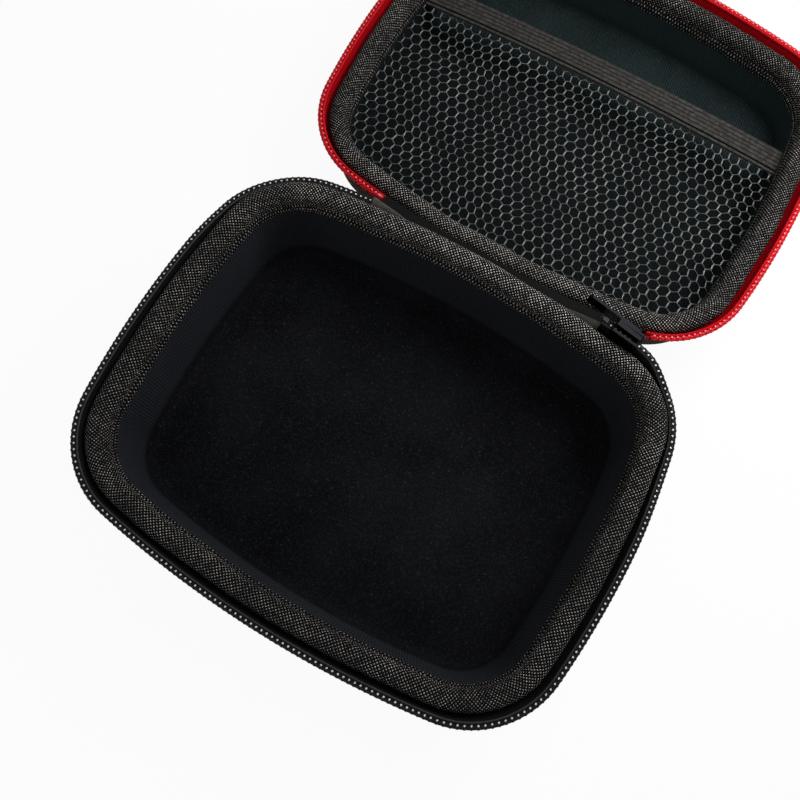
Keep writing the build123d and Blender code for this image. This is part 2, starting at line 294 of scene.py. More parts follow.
@dataclass(frozen=True)
class Rim:
    """Plan outline of a half's lip: four slack sides and four corners, all arcs tangent to their neighbours.

    Distances along it run counter-clockwise from the middle of the hinge side.
    """

    hinged: Hinged
    centre_y: float
    length: float = 156 * MM
    width: float = 126 * MM
    long_radius: float = 335 * MM
    short_radius: float = 288 * MM
    corner_radius: float = 27 * MM

    def corner(self) -> tuple[float, float]:
        """Centre of a corner: where circles inside the long and the short side's arc, by its radius, meet.

        Returns:
            Its x and y from the half's middle.
        """
        lift = self.long_radius - self.width / 2
        shift = self.short_radius - self.length / 2
        far = self.long_radius - self.corner_radius
        near = self.short_radius - self.corner_radius
        slope = shift / lift
        rise = (far**2 - lift**2 + shift**2 - near**2) / (2 * lift)
        a, b, c = 1 + slope**2, 2 * (slope * rise + shift), rise**2 + shift**2 - near**2
        x = (-b + math.sqrt(b * b - 4 * a * c)) / (2 * a)
        return x, slope * x + rise

    def arcs(self) -> tuple[np.ndarray, np.ndarray, np.ndarray, np.ndarray]:
        """The nine arcs met from the hinge side's middle round to it again.

        Returns:
            Their start bearings, centres, radii and lengths.
        """
        x, y = self.corner()
        lift = self.long_radius - self.width / 2
        shift = self.short_radius - self.length / 2
        a, b = math.atan2(x, y + lift), math.atan2(y, x + shift)
        turns = np.array([1, 1, 2, 2, 3, 3, 4, 4, 5])
        bearings = turns * (math.pi / 2) + np.array([0, a, -b, b, -a, a, -b, b, -a])
        behind, ahead = (0, -lift), (0, lift)
        centres = [behind, (-x, y), (shift, 0), (-x, -y), ahead, (x, -y), (-shift, 0), (x, y), behind]
        wide, side, bend = self.long_radius, self.short_radius, self.corner_radius
        radii = np.array([wide, bend, side, bend, wide, bend, side, bend, wide])
        spans = np.diff(np.append(bearings, math.pi * 2.5)) * radii
        return bearings, np.array(centres), radii, spans

    def girth(self) -> float:
        """Length of the whole outline."""
        return float(self.arcs()[-1].sum())

    def at(self, along: np.ndarray) -> tuple[np.ndarray, np.ndarray]:
        """Place and outward normal at each distance: arc's centre + radius * (cos b, sin b), b the bearing.

        Args:
            along: distances along the outline.

        Returns:
            Places and normals in plan, n by 2 each.
        """
        bearings, centres, radii, spans = self.arcs()
        starts = np.concatenate([[0.0], np.cumsum(spans)[:-1]])
        inside = np.mod(along, spans.sum())
        index = np.searchsorted(starts, inside, side="right") - 1
        bearing = bearings[index] + (inside - starts[index]) / radii[index]
        normal = np.stack([np.cos(bearing), np.sin(bearing)], -1)
        place = centres[index] + radii[index][:, None] * normal
        sign = self.hinged.value
        return sign * place + [0.0, self.centre_y], sign * normal

    def station(self, x: float) -> float:
        """Distance along the outline of the point of the hinge side at x, looked up in a fine table.

        Args:
            x: the place along the hinge.

        Returns:
            The distance, negative before the outline's start.
        """
        along = np.linspace(-0.2, 0.2, 2001) * self.girth()
        place, _ = self.at(along)
        sign = -self.hinged.value
        return float(np.interp(sign * x, sign * place[:, 0], along))

    def stations(self, step: float) -> np.ndarray:
        """Evenly spaced distances right round the outline, about a step apart.

        Args:
            step: the distance wanted between them.

        Returns:
            The distances.
        """
        girth = self.girth()
        count = round(girth / step)
        return np.arange(count) * girth / count

    def spots(
        self, along: np.ndarray, grow: np.ndarray | float, height: np.ndarray | float
    ) -> tuple[np.ndarray, np.ndarray, np.ndarray]:
        """Places beside the outline: outline point + grow * normal, at a height.

        Args:
            along: distances along the outline, n.
            grow: how far outside the outline, one number or n by 1.
            height: the level, one number or n by 1.

        Returns:
            Places, outward directions and upward directions, n by 3 each.
        """
        places, normals = self.at(along)
        levels = np.broadcast_to(height, (len(along), 1))
        out = np.concatenate([normals, np.zeros((len(along), 1))], -1)
        up = np.broadcast_to([0.0, 0.0, 1.0], out.shape)
        return np.concatenate([places + grow * normals, levels], -1), out, up

    def sweep(self, along: np.ndarray, section: np.ndarray) -> np.ndarray:
        """A section carried along the outline: outline point + grow * normal, at the section's height.

        Args:
            along: distances along the outline, n.
            section: grow and height of its points, k by 2, or n by k by 2 where it changes on the way.

        Returns:
            Places, n by k by 3.
        """
        place, normal = self.at(along)
        shape = np.broadcast_to(section, (len(along), *section.shape[-2:]))
        plan = place[:, None] + shape[..., :1] * normal[:, None]
        return np.concatenate([plan, shape[..., 1:]], -1)

    def band(self, section: np.ndarray, step: float, repeat: float, closed: bool) -> Patch:
        """A section carried right round the outline.

        Args:
            section: grow and height of its points in order, up its outside first; it may change on the way.
            step: distance between sections.
            repeat: length of the pattern that has to fit the outline a whole number of times.
            closed: whether the section's last point joins its first.

        Returns:
            A patch mapped by distance along the outline and along the section.
        """
        girth = self.girth()
        along = self.stations(step)
        first = section[0] if section.ndim == 3 else section
        fit = round(girth / repeat) * repeat / girth
        chart = net_of(np.append(along, girth) * fit, lengths(first, closed))
        return Patch.grid(self.sweep(along, section), chart, wrap_u=True, wrap_v=closed)

    def disc(self, grow: float, height: float, step: float, rings: int) -> Patch:
        """A flat floor inside the outline: rings of its points shrunk towards the middle, facing up.

        Args:
            grow: how far its edge lies outside the outline.
            height: its level.
            step: distance between points along the outline.
            rings: how many rings.

        Returns:
            A patch mapped by its plan.
        """
        edge = self.sweep(self.stations(step), np.array([[grow, height]]))
        middle = np.array([0.0, self.centre_y, height])
        points = middle + (edge - middle) * np.linspace(1, 0, rings)[:, None]
        chart = np.concatenate([points, points[:1]])[..., :2]
        return Patch.grid(points, chart, wrap_u=True)

    def run(self, along: np.ndarray, section: np.ndarray) -> Patch:
        """A closed section carried along part of the outline, with flat ends.

        Args:
            along: distances along the outline.
            section: grow and height of the section's points in order; it may change on the way.

        Returns:
            A patch mapped by distance along the outline and round the section.
        """
        first = section[0] if section.ndim == 3 else section
        return Patch.tube(self.sweep(along, section), net_of(along, lengths(first, closed=True)))


class Wire:
    """A number that varies over a surface: an output socket with the arithmetic of Math nodes."""

    def __init__(self, canvas: "Canvas", socket: bpy.types.NodeSocket) -> None:
        """Wraps one socket of a canvas."""
        self.canvas = canvas
        self.socket = socket

    def math(self, operation: str, *others: "Wire | float", first: "Wire | float | None" = None) -> "Wire":
        """A Math node on this number and others.

        Args:
            operation: the node's operation.
            others: what its later inputs take.
            first: what its first input takes instead of this number.

        Returns:
            The node's result.
        """
        values = (self if first is None else first, *others)
        made = self.canvas.node("ShaderNodeMath", {"operation": operation}, dict(enumerate(values)))
        return Wire(self.canvas, made.outputs[0])

    def __add__(self, other: "Wire | float") -> "Wire":
        """Sum."""
        return self.math("ADD", other)

    __radd__ = __add__

    def __sub__(self, other: "Wire | float") -> "Wire":
        """Difference."""
        return self.math("SUBTRACT", other)

    def __rsub__(self, other: float) -> "Wire":
        """Difference from a plain number."""
        return self.math("SUBTRACT", self, first=other)

    def __mul__(self, other: "Wire | float") -> "Wire":
        """Product."""
        return self.math("MULTIPLY", other)

    __rmul__ = __mul__

    def __abs__(self) -> "Wire":
        """Size without sign."""
        return self.math("ABSOLUTE")

    def sine(self, pitch: float) -> "Wire":
        """Sine with one half wave in each pitch."""
        return (self * (math.pi / pitch)).math("SINE")

    def step(self, low: float, high: float) -> "Wire":
        """Smooth step from 0 to 1.

        Args:
            low: where it leaves 0.
            high: where it reaches 1.

        Returns:
            The step.
        """
        sockets = {"Value": self, "From Min": low, "From Max": high}
        made = self.canvas.node("ShaderNodeMapRange", {"interpolation_type": "SMOOTHSTEP"}, sockets)
        return Wire(self.canvas, made.outputs["Result"])


class Canvas:
    """Node tree of a finish or of the surround."""

    MIX_SHARE, MIX_FIRST, MIX_SECOND, MIX_RESULT = 0, 6, 7, 2

    def __init__(self, owner: bpy.types.Material | bpy.types.World) -> None:
        """Opens a node tree.

        Args:
            owner: the material or world that it belongs to.
        """
        owner.use_nodes = True
        self.owner = owner
        self.tree = owner.node_tree

    def feed(self, node: bpy.types.Node, sockets: dict[str | int, object]) -> None:
        """Gives a node's inputs their values or links.

        Args:
            node: the node.
            sockets: values, wires or sockets for its inputs, by name or number.
        """
        for key, value in sockets.items():
            source = value.socket if isinstance(value, Wire) else value
            if isinstance(source, bpy.types.NodeSocket):
                self.tree.links.new(source, node.inputs[key])
            else:
                node.inputs[key].default_value = source

    def node(
        self, kind: str, settings: dict[str, object], sockets: dict[str | int, object]
    ) -> bpy.types.Node:
        """Adds any node.

        Args:
            kind: the node's type.
            settings: its own settings, set first.
            sockets: values, wires or sockets for its inputs, by name or number.

        Returns:
            The node.
        """
        made = self.tree.nodes.new(kind)
        for key, value in settings.items():
            setattr(made, key, value)
        self.feed(made, sockets)
        return made

    def split(self, vector: bpy.types.NodeSocket) -> list[Wire]:
        """The three parts of a vector as wires."""
        parts = self.node("ShaderNodeSeparateXYZ", {}, {"Vector": vector})
        return [Wire(self, socket) for socket in parts.outputs]

    def chart(self) -> list[Wire]:
        """The piece's own map, in metres along and across."""
        place = self.node("ShaderNodeUVMap", {"uv_map": "chart"}, {})
        return self.split(place.outputs["UV"])[:2]

    def place(self) -> bpy.types.NodeSocket:
        """Object coordinates, in metres."""
        return self.node("ShaderNodeTexCoord", {}, {}).outputs["Object"]

    def noise(self, grain: float, detail: float = 2.0, over: bpy.types.NodeSocket | None = None) -> Wire:
        """Smooth noise about 0.5.

        Args:
            grain: size of its lumps in metres.
            detail: how many finer layers it has.
            over: coordinates, or object coordinates where none are given.

        Returns:
            The noise.
        """
        sockets = {"Vector": over or self.place(), "Scale": 1 / grain, "Detail": detail}
        return Wire(self, self.node("ShaderNodeTexNoise", {"noise_dimensions": "3D"}, sockets).outputs["Fac"])

    def shown(self) -> Wire:
        """1 on the rays that show the background: from the camera, and by way of gloss or glass.

        Returns:
            The share.
        """
        path = self.node("ShaderNodeLightPath", {}, {})
        rays = [Wire(self, path.outputs[f"Is {kind} Ray"]) for kind in ("Camera", "Glossy", "Transmission")]
        return (rays[0] + rays[1] + rays[2]).math("MINIMUM", 1.0)

    def mix(self, share: Wire, first: Triple | bpy.types.NodeSocket, second: Triple) -> bpy.types.NodeSocket:
        """A colour between two.

        Args:
            share: 0 for the first, 1 for the second.
            first: a colour, or a socket that gives one.
            second: a colour.

        Returns:
            The mixed colour's socket.
        """
        ground = first if isinstance(first, bpy.types.NodeSocket) else (*first, 1)
        sockets = {self.MIX_SHARE: share, self.MIX_FIRST: ground, self.MIX_SECOND: (*second, 1)}
        return self.node("ShaderNodeMix", {"data_type": "RGBA"}, sockets).outputs[self.MIX_RESULT]

    def shade(
        self, colour: bpy.types.NodeSocket, roughness: Wire, height: Wire, depth: float, **constants: float
    ) -> bpy.types.Material:
        """Feeds the shader.

        Args:
            colour: socket of the base colour.
            roughness: the roughness.
            height: relief from 0 to 1.
            depth: how deep that relief is, in metres.
            constants: values of the shader's other sockets, with _ for a space in their names.

        Returns:
            The finished material.
        """
        bump = self.node("ShaderNodeBump", {}, {"Strength": 1.0, "Distance": depth, "Height": height})
        links = {"Base Color": colour, "Roughness": roughness, "Normal": bump.outputs["Normal"]}
        plain = {key.replace("_", " "): value for key, value in constants.items()}
        self.feed(self.tree.nodes["Principled BSDF"], links | plain)
        return self.owner


@dataclass(frozen=True)
class Finish:
    """A finish between a dark and a pale colour, with its material's name."""

    name: str
    dark: Triple
    pale: Triple

    @cache
    def material(self) -> bpy.types.Material:
        """The finish's material, painted once."""
        return self.paint(Canvas(bpy.data.materials.new(self.name)))

    def paint(self, c: Canvas) -> bpy.types.Material:
        """Paints the finish on an empty canvas; each kind of finish has its own way."""
        raise NotImplementedError


@dataclass(frozen=True)
class PlainWeave(Finish):
    """Coarse plain weave: pale weft shows as dots between dark warp, in a chequer of the thread's pitch.

    Along the hinge line, at hinge_y, the dots are made paler by a given share: painted light on the lips
    there.
    """

    thread: float = 0.6 * MM
    show: float = 1.0
    hinge_y: float = 66.175 * MM
    hinge_light: float = 0.0
    light_core: float = 8 * MM
    light_end: float = 20 * MM
    stray_along: float = 0.25 * MM
    stray_across: float = 0.4 * MM
    stray_grain: float = 2.5 * MM
    dot_grain: float = 1.1 * MM
    patch_grain: float = 14 * MM
    gloss: float = 0.06
    relief: float = 0.2 * MM

    def paint(self, c: Canvas) -> bpy.types.Material:
        """Paints it: sin(pi u / p) * sin(pi v / p) is above 0 on the weft's dots and below 0 on the warp's.

        Args:
            c: the canvas.

        Returns:
            The material.
        """
        u, v = c.chart()
        stray = c.noise(self.stray_grain) - 0.5
        along, across = u + stray * self.stray_along, v + stray * self.stray_across
        weave = along.sine(self.thread) * across.sine(self.thread)
        dot = weave.step(0.3, 0.85)
        single = c.noise(self.dot_grain, 1.0).step(0.3, 0.72)
        patch = c.noise(self.patch_grain, 2.0).step(0.25, 0.8)
        # Painted light: dots near the hinge line are made paler.
        _, y, _ = c.split(c.place())
        dots_shown_and_lit = (1 - abs(y - self.hinge_y).step(self.light_core, self.light_end)) * self.hinge_light + self.show
        share = dot * (single * 0.8 + 0.2) * (patch * 0.5 + 0.5) * dots_shown_and_lit
        colour = c.mix(share, self.dark, self.pale)
        return c.shade(colour, 0.85 - dot * 0.4, abs(weave), self.relief, Specular_IOR_Level=self.gloss)


@dataclass(frozen=True)
class RibKnit(Finish):
    """Thin knit on foam: upright ribs on the wall, and a napped floor with faint ribs across the case.

    Where a net covers the floor, up to net_edge along y, the floor is darker by net_shade: a painted shadow
    of the net.
    """

    wall_from: float = 7.8 * MM
    wall_to: float = 12.8 * MM
    rib: float = 1.0 * MM
    floor_rib: float = 0.9 * MM
    floor_ribs: float = 0.0
    slant: float = 0.12
    net_edge: float = 0.0
    net_shade: float = 0.0
    fade_before: float = 2 * MM
    fade_after: float = 1 * MM
    nap_grain: float = 0.55 * MM
    lint_grain: float = 0.9 * MM
    cloud_grain: float = 22 * MM
    gloss: float = 0.05
    relief: float = 0.2 * MM

    def paint(self, c: Canvas) -> bpy.types.Material:
        """Paints it: half sines along the wall's map, floor ribs by plan, nap and lint by noise, and a
        painted shadow under the net.

        Args:
            c: the canvas.

        Returns:
            The material.
        """
        u, _ = c.chart()
        x, y, z = c.split(c.place())
        wall = z.step(self.wall_from, self.wall_to)
        ribs = abs(u.sine(self.rib)) * wall
        across = abs((x + y * self.slant).sine(self.floor_rib)) * (1 - wall) * self.floor_ribs
        nap = c.noise(self.nap_grain, 3.0)
        fluff = nap.step(0.45, 0.75)
        lint = c.noise(self.lint_grain, 0.0).step(0.74, 0.82)
        cloud = c.noise(self.cloud_grain, 2.0).step(0.3, 0.75)
        share = ribs * 0.55 + wall * 0.3 + across * 0.75 + fluff * 0.4 + cloud * 0.15 + lint * 0.6
        # Painted shadow of the net on the floor below net_edge.
        past_net = y.step(self.net_edge - self.fade_before, self.net_edge + self.fade_after)
        net_shadow = (1 - past_net) * self.net_shade
        colour = c.mix(share * (1 - net_shadow), self.dark, self.pale)
        height = ribs * 0.7 + across * 0.9 + nap * 0.5
        return c.shade(colour, 0.95 - nap * 0.2, height, self.relief, Specular_IOR_Level=self.gloss)


@dataclass(frozen=True)
class Tape(Finish):
    """Woven tape: fine cross ribs with a chain of thread along it."""

    rib: float = 0.45 * MM
    chain: float = 0.8 * MM
    wear_grain: float = 3 * MM
    gloss: float = 0.05
    relief: float = 0.08 * MM

    def paint(self, c: Canvas) -> bpy.types.Material:
        """Paints it: half sines along the tape and across it, worn a little by noise.

        Args:
            c: the canvas.

        Returns:
            The material.
        """
        u, v = c.chart()
        weave = abs(u.sine(self.rib)) * (abs(v.sine(self.chain)) * 0.5 + 0.5)
        wear = c.noise(self.wear_grain, 3.0)
        colour = c.mix(weave * 0.6 + wear * 0.4, self.dark, self.pale)
        return c.shade(colour, 0.8 - weave * 0.15, weave, self.relief, Specular_IOR_Level=self.gloss)


@dataclass(frozen=True)
class Nylon(Finish):
    """Glossy nylon of the teeth, slightly uneven from moulding, with a painted highlight: a pale spot on each
    tooth's top.
    """

    highlight_colour: Triple = (1.0, 1.0, 1.0)
    gloss: float = 0.08
    spot: float = 0.34 * MM
    turn: float = 2 * MM
    tone_grain: float = 4 * MM
    skin_grain: float = 0.5 * MM
    relief: float = 0.004 * MM

    def paint(self, c: Canvas) -> bpy.types.Material:
        """Paints it: noises change the colour and the skin, and a round spot in each dome's map is a painted
        highlight on its top.

        Args:
            c: the canvas.

        Returns:
            The material.
        """
        u, v = c.chart()
        tone = c.noise(self.tone_grain, 2.0)
        skin = c.noise(self.skin_grain, 2.0)
        # Painted highlight: a pale round spot in each dome's map, brighter where the tone noise is higher.
        round_crest = v.math("PINGPONG", self.turn) - self.turn / 2
        far = (u * u + round_crest * round_crest) * (1 / self.spot**2)
        highlight_share = (1 - far.step(0.25, 1.0)) * (tone * 0.6 + 0.5)
        colour = c.mix(highlight_share, c.mix(tone, self.dark, self.pale), self.highlight_colour)
        return c.shade(colour, skin * 0.1 + 0.07, skin, self.relief, Specular_IOR_Level=self.gloss)


@dataclass(frozen=True)
class NetThread(Finish):
    """Knitted thread of the net: two plies twisted round each other."""

    twist: float = 0.42 * MM
    lean: float = 0.8
    short_grain: float = 5 * MM
    long_grain: float = 24 * MM
    gloss: float = 0.1
    relief: float = 0.08 * MM

    def paint(self, c: Canvas) -> bpy.types.Material:
        """Paints it: slanted half sines by the thread's own map, with paler and darker stretches by noise
        that are painted light, as where the slack net catches light.

        Args:
            c: the canvas.

        Returns:
            The material.
        """
        u, v = c.chart()
        ply = abs((u + v * self.lean).sine(self.twist))
        # Painted light: slow noise makes stretches of thread paler and darker, as where the slack net catches
        # light.
        short = c.noise(self.short_grain, 2.0).step(0.3, 0.7)
        long = c.noise(self.long_grain, 1.0).step(0.3, 0.7)
        stretch = short * 0.6 + long * 0.4
        colour = c.mix(ply * (stretch * 0.7 + 0.3), self.dark, self.pale)
        return c.shade(colour, 0.75 - ply * 0.25, ply, self.relief, Specular_IOR_Level=self.gloss)


@dataclass(frozen=True)
class RibbedElastic(Finish):
    """Woven elastic: lengthwise ribs parted by dark lines, with speckled threads."""

    rib: float = 1.6 * MM
    weft: float = 0.55 * MM
    tone_grain: float = 1.3 * MM
    gloss: float = 0.1
    relief: float = 0.12 * MM

    def paint(self, c: Canvas) -> bpy.types.Material:
        """Paints it: half sines across the band part the ribs, fast ones along it give the weft.

        Args:
            c: the canvas.

        Returns:
            The material.
        """
        u, v = c.chart()
        ribs = abs(v.sine(self.rib)).step(0.12, 0.6)
        weft = abs(u.sine(self.weft))
        tone = c.noise(self.tone_grain, 3.0).step(0.3, 0.7)
        colour = c.mix(ribs * (weft * 0.35 + tone * 0.6 + 0.1), self.dark, self.pale)
        height = ribs * 0.7 + weft * 0.3
        return c.shade(colour, 0.8 - weft * 0.15, height, self.relief, Specular_IOR_Level=self.gloss)


@dataclass(frozen=True)
class SmoothCloth(Finish):
    """Close smooth cloth of the hinge and the tape's tails."""

    thread: float = 0.35 * MM
    cloud_grain: float = 7 * MM
    gloss: float = 0.06
    relief: float = 0.05 * MM

    def paint(self, c: Canvas) -> bpy.types.Material:
        """Paints it: a fine weave by the map with soft clouds.

        Args:
            c: the canvas.

        Returns:
            The material.
        """
        u, v = c.chart()
        weave = abs(u.sine(self.thread)) * abs(v.sine(self.thread))
        cloud = c.noise(self.cloud_grain, 3.0)
        colour = c.mix(weave * 0.4 + cloud * 0.6, self.dark, self.pale)
        return c.shade(colour, 0.75 - weave * 0.1, weave, self.relief, Specular_IOR_Level=self.gloss)


@dataclass(frozen=True)
class DarkMetal(Finish):
    """Dark lacquer on die-cast metal, with fine scratches."""

    stretch: Triple = (1, 9, 1)
    cloud_grain: float = 3 * MM
    scratch_grain: float = 1.5 * MM
    relief: float = 0.01 * MM

    def paint(self, c: Canvas) -> bpy.types.Material:
        """Paints it: soft clouds in the lacquer, and stretched noise for the scratches.

        Args:
            c: the canvas.

        Returns:
            The material.
        """
        cloud = c.noise(self.cloud_grain, 2.0)
        mapping = c.node("ShaderNodeMapping", {}, {"Vector": c.place(), "Scale": self.stretch})
        scratch = c.noise(self.scratch_grain, 4.0, mapping.outputs["Vector"]).step(0.55, 0.7)
        colour = c.mix(cloud * 0.6 + scratch * 0.4, self.dark, self.pale)
        return c.shade(colour, scratch * 0.12 + 0.26, cloud, self.relief, Metallic=1.0)


@dataclass(frozen=True)
class HalfCloths:
    """Finishes of one half: outside, lip, lining, tape, its tails, a pale line along its bead that is a
    painted highlight, and teeth.
    """

    cover: Finish
    binding: Finish
    lining: Finish
    tape: Finish
    tail: Finish
    # Painted highlight: the pale line along the tape's bead.
    edge: Finish
    teeth: Finish


@dataclass(frozen=True)
class Half:
    """One half of the case: moulded shell with its cover, lining, lip binding and half of the zip.

    depth is the lip's height over the underside, zip_ends the x of the zip's ends on the hinge side, and
    tooth_ends the same of its teeth. slumps is how much of slump_move the chain's edge sinks at its ends.
    """

    name: str
    rim: Rim
    depth: float
    zip_ends: tuple[float, float]
    tooth_ends: tuple[float, float]
    tails: bool
    slumps: float
    cloths: HalfCloths
    seed: int

    # Shell and lining
    step: float = 1.6 * MM
    weave_repeat: float = 1.2 * MM
    rib_repeat: float = 2 * MM
    shell_inset: float = 0.75 * MM
    shell_wall: float = 5 * MM
    shell_crown: float = 2 * MM
    bottom_round: float = 10 * MM
    lining: float = 0.6 * MM
    lining_gap: float = 0.1 * MM
    lining_tuck: float = 1.2 * MM
    floor_round: float = 4.3 * MM

    # Rolled lip
    lip: float = 6.5 * MM
    lip_step: float = 0.9 * MM
    lip_round: float = 3 * MM
    lip_square: float = 0.85
    lip_outside: float = 5 * MM
    lip_inside: float = 7.6 * MM
    cloth: float = 0.65 * MM
    crease: float = 0.3 * MM
    crease_at: float = 4.2 * MM
    crease_half: float = 0.7 * MM
    slack: float = 0.25 * MM
    slack_run: float = 3.2 * MM
    crowd_from: float = 4.0 * MM
    crowd: float = 0.42
    swell: float = 0.1 * MM
    sway: float = 0.12 * MM
    bulge: float = 0.1 * MM
    left_bulge: float = 0.0
    right_bulge: float = 0.0
    right_corner: tuple[float, float] = (0.8, 0.6)
    crown: float = 0.4 * MM

    # Tape and its bead
    tape_step: float = 1.4 * MM
    sewn: float = 12.1 * MM
    seam_gap: float = 0.1 * MM
    flare_foot: float = 7.5 * MM
    flare_sag: float = 0.5 * MM
    flare_trim: float = 0.05 * MM
    inner_gap: float = 0.02 * MM
    inner_rise: float = 1.4 * MM
    inner_sag: float = 0.45 * MM
    inner_trim: float = 0.1 * MM
    shoulder: float = 0.3 * MM
    bead_middle: float = 2.0 * MM
    bead_half: float = 0.55 * MM
    bead_rise: float = 0.76 * MM
    chain_top: float = 1.4 * MM
    chain_height: float = 1.5 * MM
    # Columns of the tape's section, along the bead's top, that carry the painted highlight.
    highlight_columns: tuple[int, int] = (22, 24)
    off_wall: float = 0.1 * MM

    # Teeth, sized along the chain, across it and up
    reach: float = 3.9 * MM
    pitch: float = 1.7 * MM
    tooth_out: float = 1.3 * MM
    tooth_lift: float = 0.35 * MM
    tooth_half: Triple = (0.74 * MM, 0.8 * MM, 0.4 * MM)
    head_out: float = 0.47 * MM
    head_half: Triple = (0.62 * MM, 0.45 * MM, 0.5 * MM)
    crest_turn: float = 4 * MM
    highlight_shift: float = 10 * MM
    spine_root: float = 0.2 * MM
    spine_back: float = 0.15 * MM
    spine_rise: float = 0.45 * MM
    lump_past: float = 0.9 * MM
    lump_half: Triple = (2.3 * MM, 1.3 * MM, 0.84 * MM)

    # Stitches and tails of the tape
    stitch_pitch: float = 3.2 * MM
    stitch_rise: float = 1.8 * MM
    stitch_half: float = 1.15 * MM
    stitch_round: float = 0.26 * MM
    stitch_girth: float = 1.6 * MM
    stitch_proud: float = 0.05 * MM
    stitch_margin: float = 2 * MM
    tail: float = 14 * MM
    tail_gap: float = 0.02 * MM
    tail_half: float = 0.22 * MM
    tail_power: float = 0.8
    tail_least: float = 0.05
    tail_foot: tuple[float, float] = (0.12 * MM, 3.4 * MM)
    tail_tip: tuple[float, float] = (0.6 * MM, 1.2 * MM)

    # Sinking of the chain's edge: where each change starts and how long it is
    slump_move: tuple[float, float] = (-0.9 * MM, -3.8 * MM)
    slump_left: tuple[float, float] = (26 * MM, 40 * MM)
    slump_before: tuple[float, float] = (16 * MM, 12 * MM)
    slump_after: tuple[float, float] = (42 * MM, 36 * MM)
    right_slump: float = 0.6

    def slanted(self, grow: float, heights: np.ndarray) -> np.ndarray:
        """Points of the drafted wall: grow less the draft times the depth below the lip, at each height."""
        return np.stack([grow - (self.depth - heights) * DRAFT, heights], -1)

    def tray(self, inset: float, bottom: float, bend: float, top: float) -> np.ndarray:
        """Half section of a tray's face, from its floor's edge round the bend and up the drafted wall.

        Args:
            inset: how far the wall lies inside the lip's outline at the lip.
            bottom: level of the floor.
            bend: radius between floor and wall.
            top: level of its upper end.

        Returns:
            Grow and height of the points.
        """
        tilt = math.degrees(math.atan(DRAFT))
        touch = bottom + bend * (1 - math.sin(math.radians(tilt)))
        foot = -inset - (self.depth - touch) * DRAFT - bend * math.cos(math.radians(tilt))
        bow = arc((foot, bottom + bend), bend, -90, -tilt, 10)
        return np.vstack([bow, self.slanted(-inset, np.linspace(touch, top, 14))[1:]])

    def cover_patch(self) -> Patch:
        """Moulded shell with its cover: outer tray, half ellipse over the lip, inner tray, and both floors.

        Returns:
            The closed patch.
        """
        top = self.depth - self.shell_inset - self.shell_crown
        outer = self.tray(self.shell_inset, 0.0, self.bottom_round, top)
        inner = self.tray(self.shell_inset + self.shell_wall, self.shell_wall, self.floor_round, top)
        middle = (outer[-1] + inner[-1]) / 2
        half = (outer[-1, 0] - inner[-1, 0]) / 2
        crown = middle + arc((0, 0), 1, 0, 180, 9)[1:-1] * [half, self.shell_crown]
        section = np.vstack([outer, crown, inner[::-1]])
        wall = self.rim.band(section, self.step, self.weave_repeat, closed=False)
        under = self.rim.disc(outer[0, 0], 0.0, self.step, 12).flipped()
        floor = self.rim.disc(inner[0, 0], self.shell_wall, self.step, 12)
        return Patch.join([wall, under, floor])

    def lining_patch(self) -> Patch:
        """Lining: a thin tray inside the shell, its back and its face, up to under the binding.

        Returns:
            The patch.
        """
        top = self.depth - self.lip_inside + self.lining_tuck
        behind = self.shell_inset + self.shell_wall + self.lining_gap
        level = self.shell_wall + self.lining_gap
        back = self.tray(behind, level, self.floor_round - self.lining_gap, top)
        face = self.tray(behind + self.lining, level + self.lining, self.floor_round - self.lining, top)
        wall = self.rim.band(np.vstack([back, face[::-1]]), self.step, self.rib_repeat, closed=False)
        under = self.rim.disc(back[0, 0], level, self.step, 12).flipped()
        floor = self.rim.disc(face[0, 0], level + self.lining, self.step, 40)
        return Patch.join([wall, under, floor])

    def inner_levels(self) -> np.ndarray:
        """Levels of the lip's inner run from its top, the roll's end first."""
        return np.linspace(-self.lip_round, -self.lip_inside, 20)

    def lip_face(self) -> tuple[np.ndarray, np.ndarray]:
        """Outer line of the lip's section: up the outside, over a squared half ellipse, and down inside.

        The inner run follows the wall's draft, with a bell-shaped crease below the roll and a half sine
        of slack.

        Returns:
            Grow and height of the points from the lip's top, and how far each one moves with a bulge.
        """
        share = np.linspace(0, 1, 6)[:-1]
        outer = np.stack([0 * share, -self.lip_outside + (self.lip_outside - self.lip_round) * share], -1)
        around = np.radians(np.linspace(0, 180, 26))
        sweep = np.sign(np.cos(around)) * np.abs(np.cos(around)) ** self.lip_square
        rise = np.sin(around) ** self.lip_square * (self.lip_round + self.crown)
        roll = np.stack([self.lip / 2 * (sweep - 1), rise - self.lip_round], -1)
        inside = self.inner_levels()
        dent = self.crease * np.exp(-(((inside + self.crease_at) / self.crease_half) ** 2))
        slack = self.slack * np.sin(np.pi * np.clip((inside + self.lip_inside) / self.slack_run, 0, 1))
        inner = np.stack([-self.lip + inside * DRAFT + dent - slack, inside], -1)[1:]
        spread = np.concatenate([np.sin(np.pi / 2 * share), (1 + sweep) / 2, 0 * inside[1:]])
        return np.vstack([outer, roll, inner]), spread

    def lip_back(self) -> np.ndarray:
        """Hidden line of the lip's section, a cloth's thickness inside its face, from inside to outside.

        Returns:
            Grow and height of the points from the lip's top.
        """
        inside = self.inner_levels()
        thin = self.lip_round - self.cloth
        inner = np.stack([-self.lip + self.cloth + inside * DRAFT, inside], -1)[::-1]
        far, near = (self.lip_round - self.lip, -self.lip_round), (-self.lip_round, -self.lip_round)
        roll = np.vstack([arc(far, thin, 180, 90, 7), arc(near, thin, 90, 0, 7)])
        outer = np.stack([np.full(4, -self.cloth), np.linspace(-self.lip_round, -self.lip_outside, 4)], -1)
        return np.vstack([inner, roll[1:], outer[1:]])

